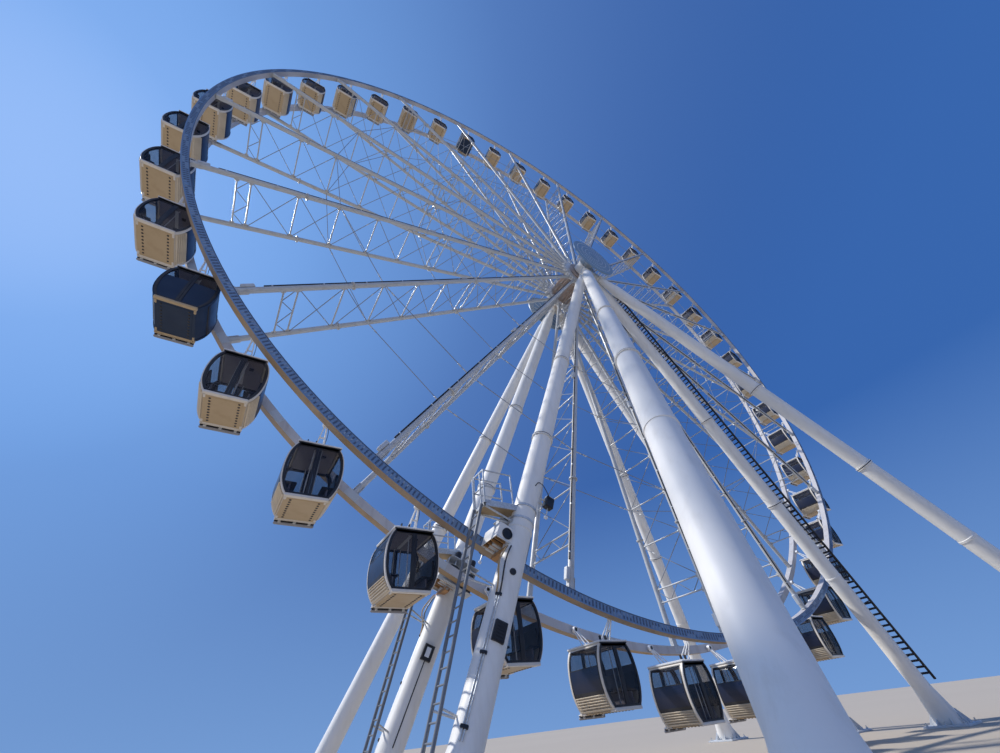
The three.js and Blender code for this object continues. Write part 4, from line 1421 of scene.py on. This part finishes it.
def add_tyre(shape, side, x):
    """Tyre on its rim and axle, with the motor above it."""
    centre = np.array([x, side * TYRE_Y, -TYRE_WIDTH / 2])
    width = TYRE_WIDTH
    profile = [
        (0.11, 0.02), (0.2, 0.0), (TYRE_RADIUS - 0.01, 0.03), (TYRE_RADIUS, 0.08),
        (TYRE_RADIUS, width - 0.08), (TYRE_RADIUS - 0.01, width - 0.03), (0.2, width), (0.11, width - 0.02),
    ]
    shape.turned(centre, Z_AXIS, profile, 36, tone=1, closed=True)
    shape.disc(centre + Z_AXIS * 0.05, Z_AXIS, 0.112, width - 0.1, 24, tone=2)
    shape.tube(centre - Z_AXIS * 0.27, centre + Z_AXIS * 0.57, 0.03, 12, tone=2)
    motor = [(0.0, 0.0), (0.11, 0.0), (0.11, 0.26), (0.08, 0.3), (0.0, 0.3)]
    shape.turned(centre + Z_AXIS * 0.58, Z_AXIS, motor, 20, tone=3)


def add_cover(shape, side):
    """Painted box, open underneath, with a black block inside as painted shade and stained plates in its
    mouth.
    """
    x, y, z = COVER_X, COVER_Y, COVER_Z
    wall = 0.02
    side_block(shape, side, x, (y[1] - wall, y[1]), z, tone=5)
    side_block(shape, side, x, (y[0], y[0] + wall), z, tone=5)
    side_block(shape, side, (x[0], x[0] + wall), (y[0] + wall, y[1] - wall), z, tone=5)
    side_block(shape, side, (x[0] + wall, x[1]), (y[0] + wall, y[1] - wall), (z[1] - wall, z[1]), tone=5)
    side_block(shape, side, (x[0] - 0.012, x[1]), (y[1] - 0.03, y[1] + 0.012), (z[0] - 0.012, z[0] + 0.03))
    # Black block filling the cover: painted shade inside its open mouth.
    mouth_shade_block = ((x[0] + 0.03, x[1] - 0.02), (y[0] + 0.03, y[1] - 0.1), (z[0] + 0.1, z[1] - 0.06))
    side_block(shape, side, *mouth_shade_block, tone=3)
    for k in range(4):
        low = y[0] + 0.06 + 0.2 * k
        plate = ((x[0] + 0.05, x[1] - 0.05), (low, low + 0.03), (z[0] + 0.02, z[0] + 0.14))
        side_block(shape, side, *plate, tone=4)
    add_cover_port(shape, side)
    add_channel(shape, side)


def add_cover_port(shape, side):
    """Round black port on the cover's outer face."""
    centre = np.array([-0.46, side * COVER_Y[1], -0.27])
    profile = [(0.0, 0.0), (0.16, 0.0), (0.16, 0.03), (0.13, 0.034), (0.125, 0.02), (0.0, 0.02)]
    shape.turned(centre, Y_AXIS * side, profile, 28, tone=3)


def add_channel(shape, side):
    """Stained steel channel that hangs below the cover's mouth."""
    x, y, z = (-0.36, -0.2), (1.5, 2.3), (-0.68, -0.56)
    side_block(shape, side, x, y, (z[0], z[0] + 0.015), tone=4)
    side_block(shape, side, (x[0], x[0] + 0.015), y, z, tone=4)
    side_block(shape, side, (x[1] - 0.015, x[1]), y, z, tone=4)
    for low in (1.6, 2.2):
        side_block(shape, side, (x[0], x[0] + 0.04), (low, low + 0.03), (z[1], COVER_Z[0] + 0.05), tone=2)


def make_platform(side, face):
    name = "service_platform_" + face
    shape = Shape()
    top, _, axis, _ = leg_line(-1, side, INNER_FOOT)
    spot = top + axis * (PLATFORM_DROP / -axis[2])
    outer_x = spot[0] - LEG_RADIUS - PLATFORM_SETBACK
    inner_x = outer_x - PLATFORM_LENGTH
    floor = spot[2]
    add_deck(shape, side, inner_x, spot[0] - 0.3, floor)
    add_railing(shape, side, inner_x, outer_x, floor)
    for y in (PLATFORM_Y[0] + 0.04, PLATFORM_Y[1] - 0.04):
        start = np.array([inner_x + 0.04, side * y, floor - PLATFORM_THICKNESS])
        below = top + axis * ((PLATFORM_DROP + BRACE_DROP) / -axis[2])
        end = below + unit(start - below) * (LEG_RADIUS + 0.02)
        shape.tube(start, end, 0.03, 10)
        shape.disc(end, start - end, 0.08, 0.02)
    add_leg_strap(shape, top, axis, PLATFORM_DROP / -axis[2])
    add_ladder(shape, side, np.array([inner_x, 0.0, floor]))
    make_piece(name, shape, [ZINC, DECK_BROWN, LADDER_PAINTED_SHADE], "stand", [name])


def add_deck(shape, side, inner_x, outer_x, floor):
    """Framed grating over a stained plate, with toe boards."""
    low = floor - PLATFORM_THICKNESS
    near, far = PLATFORM_Y
    for y in (near, far - DECK_EDGE):
        side_block(shape, side, (inner_x, outer_x), (y, y + DECK_EDGE), (low, floor))
    for x in (inner_x, outer_x - DECK_EDGE):
        side_block(shape, side, (x, x + DECK_EDGE), PLATFORM_Y, (low, floor))
    plate_y = (near + 0.02, far - 0.02)
    side_block(shape, side, (inner_x + 0.02, outer_x), plate_y, (low + 0.012, low + 0.03), tone=1)
    bar_y = (near + 0.03, far - 0.03)
    for x in np.arange(inner_x + 0.1, outer_x - 0.05, DECK_BAR_SPACING):
        side_block(shape, side, (x, x + 0.012), bar_y, (floor - 0.04, floor), 0.0)
    for y in (near, far - 0.01):
        side_block(shape, side, (inner_x, outer_x), (y, y + 0.01), (floor, floor + TOE_BOARD_HEIGHT), 0.0)


def add_railing(shape, side, inner_x, outer_x, floor):
    """Guard rail round three sides of the platform."""
    near, far = PLATFORM_Y[0] + RAIL_RADIUS, PLATFORM_Y[1] - RAIL_RADIUS
    corners = [(outer_x, near), (inner_x + RAIL_RADIUS, near), (inner_x + RAIL_RADIUS, far), (outer_x, far)]
    corners = [np.array([x, side * y, floor]) for x, y in corners]
    for corner in corners:
        shape.tube(corner, corner + Z_AXIS * RAIL_HEIGHT, RAIL_RADIUS, 10)
        shape.block(corner + Z_AXIS * 0.006, (0.09, 0.09, 0.012))
    for height in (KNEE_RAIL_HEIGHT, RAIL_HEIGHT - RAIL_RADIUS):
        for start, end in zip(corners, corners[1:]):
            shape.tube(start + Z_AXIS * height, end + Z_AXIS * height, RAIL_RADIUS * 0.9, 10)


def add_leg_strap(shape, top, axis, distance):
    """Two clamps round a leg, which carry the platform."""
    outer = LEG_RADIUS + 0.025
    strap = [(LEG_RADIUS, 0.0), (outer, 0.0), (outer, 0.07), (LEG_RADIUS, 0.07)]
    for shift in STRAP_SHIFTS:
        shape.turned(top + axis * (distance + shift), axis, strap, 36, closed=True)


def add_ladder(shape, side, deck_end):
    """Ladder down from the platform's end, its rungs along the axle."""
    top_z = deck_end[2]
    drop = top_z - LADDER_FOOT_HEIGHT
    slope = np.array([-LADDER_LEAN * drop, 0.0, -drop])
    top, _, axis, _ = leg_line(-1, side, INNER_FOOT)
    starts = [np.array([deck_end[0] - 0.03, side * y, top_z]) for y in LADDER_Y]
    for start in starts:
        # Rails and rungs take the ladder's painted shade.
        shape.tube(start, start + slope, 0.045, 10, tone=2)
        shape.tube(start, start + Z_AXIS * LADDER_GRAB_HEIGHT, 0.026, 10)
        for share in LADDER_BRACKETS:
            place = start + slope * share
            on_axis = top + axis * np.dot(place - top, axis)
            end = on_axis + unit(place - on_axis) * LEG_RADIUS
            shape.tube(place, end, 0.024, 8)
    count = int(np.linalg.norm(slope) / RUNG_SPACING)
    for k in range(1, count):
        spots = [start + slope * (k / count) for start in starts]
        shape.tube(spots[0], spots[1], 0.02, 8, tone=2)


def make_leg_fittings(side, face):
    """Ports, conduits, cables, boxes and floodlights on a left inner leg."""
    shape = Shape()
    top, _, axis, length = leg_line(-1, side, INNER_FOOT)
    out = unit(Y_AXIS * side - axis * np.dot(Y_AXIS * side, axis))
    across = np.cross(axis, out) * side
    outer_way = leg_way(out, across, OUTER_PORT_TURN)
    add_leg_port(shape, top + axis * OUTER_PORT_PLACE, outer_way, OUTER_PORT_RADIUS)
    add_leg_plate(shape, top + axis * LEG_PLATE_PLACE, axis, leg_way(out, across, LEG_PLATE_TURN))
    add_conduits(shape, top, axis, out, across, length)
    add_floodlight(shape, top + axis * FLOODLIGHT_PLACE, axis, across, out)
    add_inner_box(shape, top + axis * INNER_BOX_PLACE, axis, leg_way(-out, across, INNER_BOX_TURN))
    inner_way = leg_way(-out, across, INNER_PORT_TURN)
    add_leg_port(shape, top + axis * INNER_PORT_PLACE, inner_way, INNER_PORT_RADIUS)
    make_piece("leg_fittings_" + face, shape, [BLACK, ZINC, LAMP, DECK_BROWN], "stand")


def leg_way(out, across, turn):
    """Direction out of a leg, turned from its outer face towards its free side."""
    return out * math.cos(turn) - across * math.sin(turn)


def add_leg_port(shape, centre, way, radius):
    """Round black port with a raised edge."""
    profile = [(0.0, 0.0), (radius, 0.0), (radius, 0.05), (radius - 0.02, 0.054), (0.0, 0.05)]
    shape.turned(centre + way * (LEG_RADIUS - 0.03), way, profile, 24)


def add_leg_plate(shape, centre, axis, way):
    """Dark louvred plate on the leg."""
    axes = axes_of(np.cross(axis, way), way, axis)
    shape.block(centre + way * LEG_RADIUS, (0.31, 0.1, 0.45), 0.01, axes)
    face = centre + way * (LEG_RADIUS + 0.052)
    for k in range(6):
        shape.block(face + axis * (0.07 * k - 0.17), (0.28, 0.02, 0.02), 0.0, axes)


def add_inner_box(shape, centre, axis, way):
    """Dark box with a pale front on the face towards the wheel, and its cable down the leg."""
    axes = axes_of(np.cross(axis, way), way, axis)
    shape.block(centre + way * (LEG_RADIUS + 0.02), (0.32, 0.16, 0.42), 0.012, axes)
    shape.block(centre + way * (LEG_RADIUS + 0.105), (0.14, 0.012, 0.26), 0.004, axes, tone=2)
    skin = way * (LEG_RADIUS + 0.01)
    shape.tube(centre + axis * 0.2 + skin, centre + axis * 2.2 + skin, 0.016, 8)


def add_conduits(shape, top, axis, out, across, length):
    """Two conduits down the leg in dark clamps, with a cable and a hose that loop up to the drive unit."""
    end = length - CONDUIT_END_GAP
    for turn in CONDUIT_TURNS:
        skin = leg_way(out, across, turn) * (LEG_RADIUS + 0.02)
        shape.tube(top + axis * CLAMP_START + skin, top + axis * end + skin, 0.018, 8, tone=1)
    way = leg_way(out, across, sum(CONDUIT_TURNS) / 2)
    axes = axes_of(np.cross(axis, way), way, axis)
    for distance in np.arange(CLAMP_START, end, CLAMP_SPACING):
        shape.block(top + axis * distance + way * (LEG_RADIUS + 0.02), (0.17, 0.06, 0.07), 0.01, axes)
    for k, turn in enumerate(CABLE_TURNS):
        way = leg_way(out, across, turn)
        start = top + axis * CLAMP_START + way * (LEG_RADIUS + 0.02)
        loop = [
            start, start - axis * 0.3 + way * 0.06, start - axis * 0.7 + way * (0.2 + 0.05 * k),
            start - axis * 1.05 + way * 0.16, start - axis * 1.3 + way * 0.05,
        ]
        shape.sweep(smooth_curve(loop, 5), 0.022, 8, tone=3 * k)


def add_floodlight(shape, place, axis, across, out):
    """Floodlight and a small lamp on an arm beside the leg, with their cable."""
    arm = place + across * (LEG_RADIUS + FLOODLIGHT_REACH)
    shape.tube(place + across * (LEG_RADIUS - 0.02), arm, 0.03, 8, tone=1)
    axes = axes_of(across, out, axis)
    shape.block(arm, (0.3, 0.25, 0.4), 0.03, axes)
    shape.block(arm - axis * 0.21, (0.26, 0.2, 0.02), 0.0, axes, tone=1)
    shape.tube(arm + axis * 0.18, arm + axis * 0.5, 0.024, 8, tone=1)
    shape.block(arm + axis * 0.55, (0.12, 0.1, 0.1), 0.02, axes, tone=2)
    skin = place + out * (LEG_RADIUS + 0.01)
    cable = [
        skin - across * 0.02, skin - axis * 0.2 + across * 0.08,
        skin - axis * 0.16 + across * 0.3, arm + out * 0.1 - axis * 0.1,
    ]
    shape.sweep(smooth_curve(cable, 6), 0.014, 6)


def make_leg_ladder(side, face):
    """Black ladder beside the right inner leg, from near its foot to near the hub, on brackets."""
    shape = Shape()
    top, _, axis, length = leg_line(1, side, INNER_FOOT)
    lift = -unit(np.cross(Y_AXIS, axis))
    start, end = LEG_LADDER_TOP, LEG_LADDER_FOOT_SHARE * length
    stiles = [top + lift * LEG_LADDER_LIFT + Y_AXIS * side * y for y in LEG_LADDER_Y]
    for stile in stiles:
        shape.tube(stile + axis * start, stile + axis * end, 0.06, 8)
    for distance in np.arange(start + 0.1, end, LEG_RUNG_SPACING):
        shape.tube(stiles[0] + axis * distance, stiles[1] + axis * distance, 0.044, 6)
    for distance in np.arange(start + 0.5, end, LEG_LADDER_BRACKET_SPACING):
        centre = top + axis * distance
        for stile in stiles:
            place = stile + axis * distance
            shape.tube(place, centre + unit(place - centre) * (LEG_RADIUS - 0.01), 0.024, 6)
    make_piece("leg_ladder_" + face, shape, [BLACK], "stand")


make_rim(-1, "front")
make_rim(1, "back")
make_rim_lights(-1, "front")
make_rim_lights(1, "back")
make_trusses()
make_ties(-1, "front")
make_ties(1, "back")
make_hub()
make_disc(-1, "front")
make_disc(1, "back")
make_cabins()
for face, y_side in (("front", -1), ("back", 1)):
    make_head(y_side, face)
    for hand, x_side in (("left", -1), ("right", 1)):
        make_leg(face, "inner", hand, x_side, y_side, INNER_FOOT)
        make_leg(face, "outer", hand, x_side, y_side, OUTER_FOOT)
    make_drive_unit(y_side, face)
    make_platform(y_side, face)
    make_leg_fittings(y_side, face)
    make_leg_ladder(y_side, face)
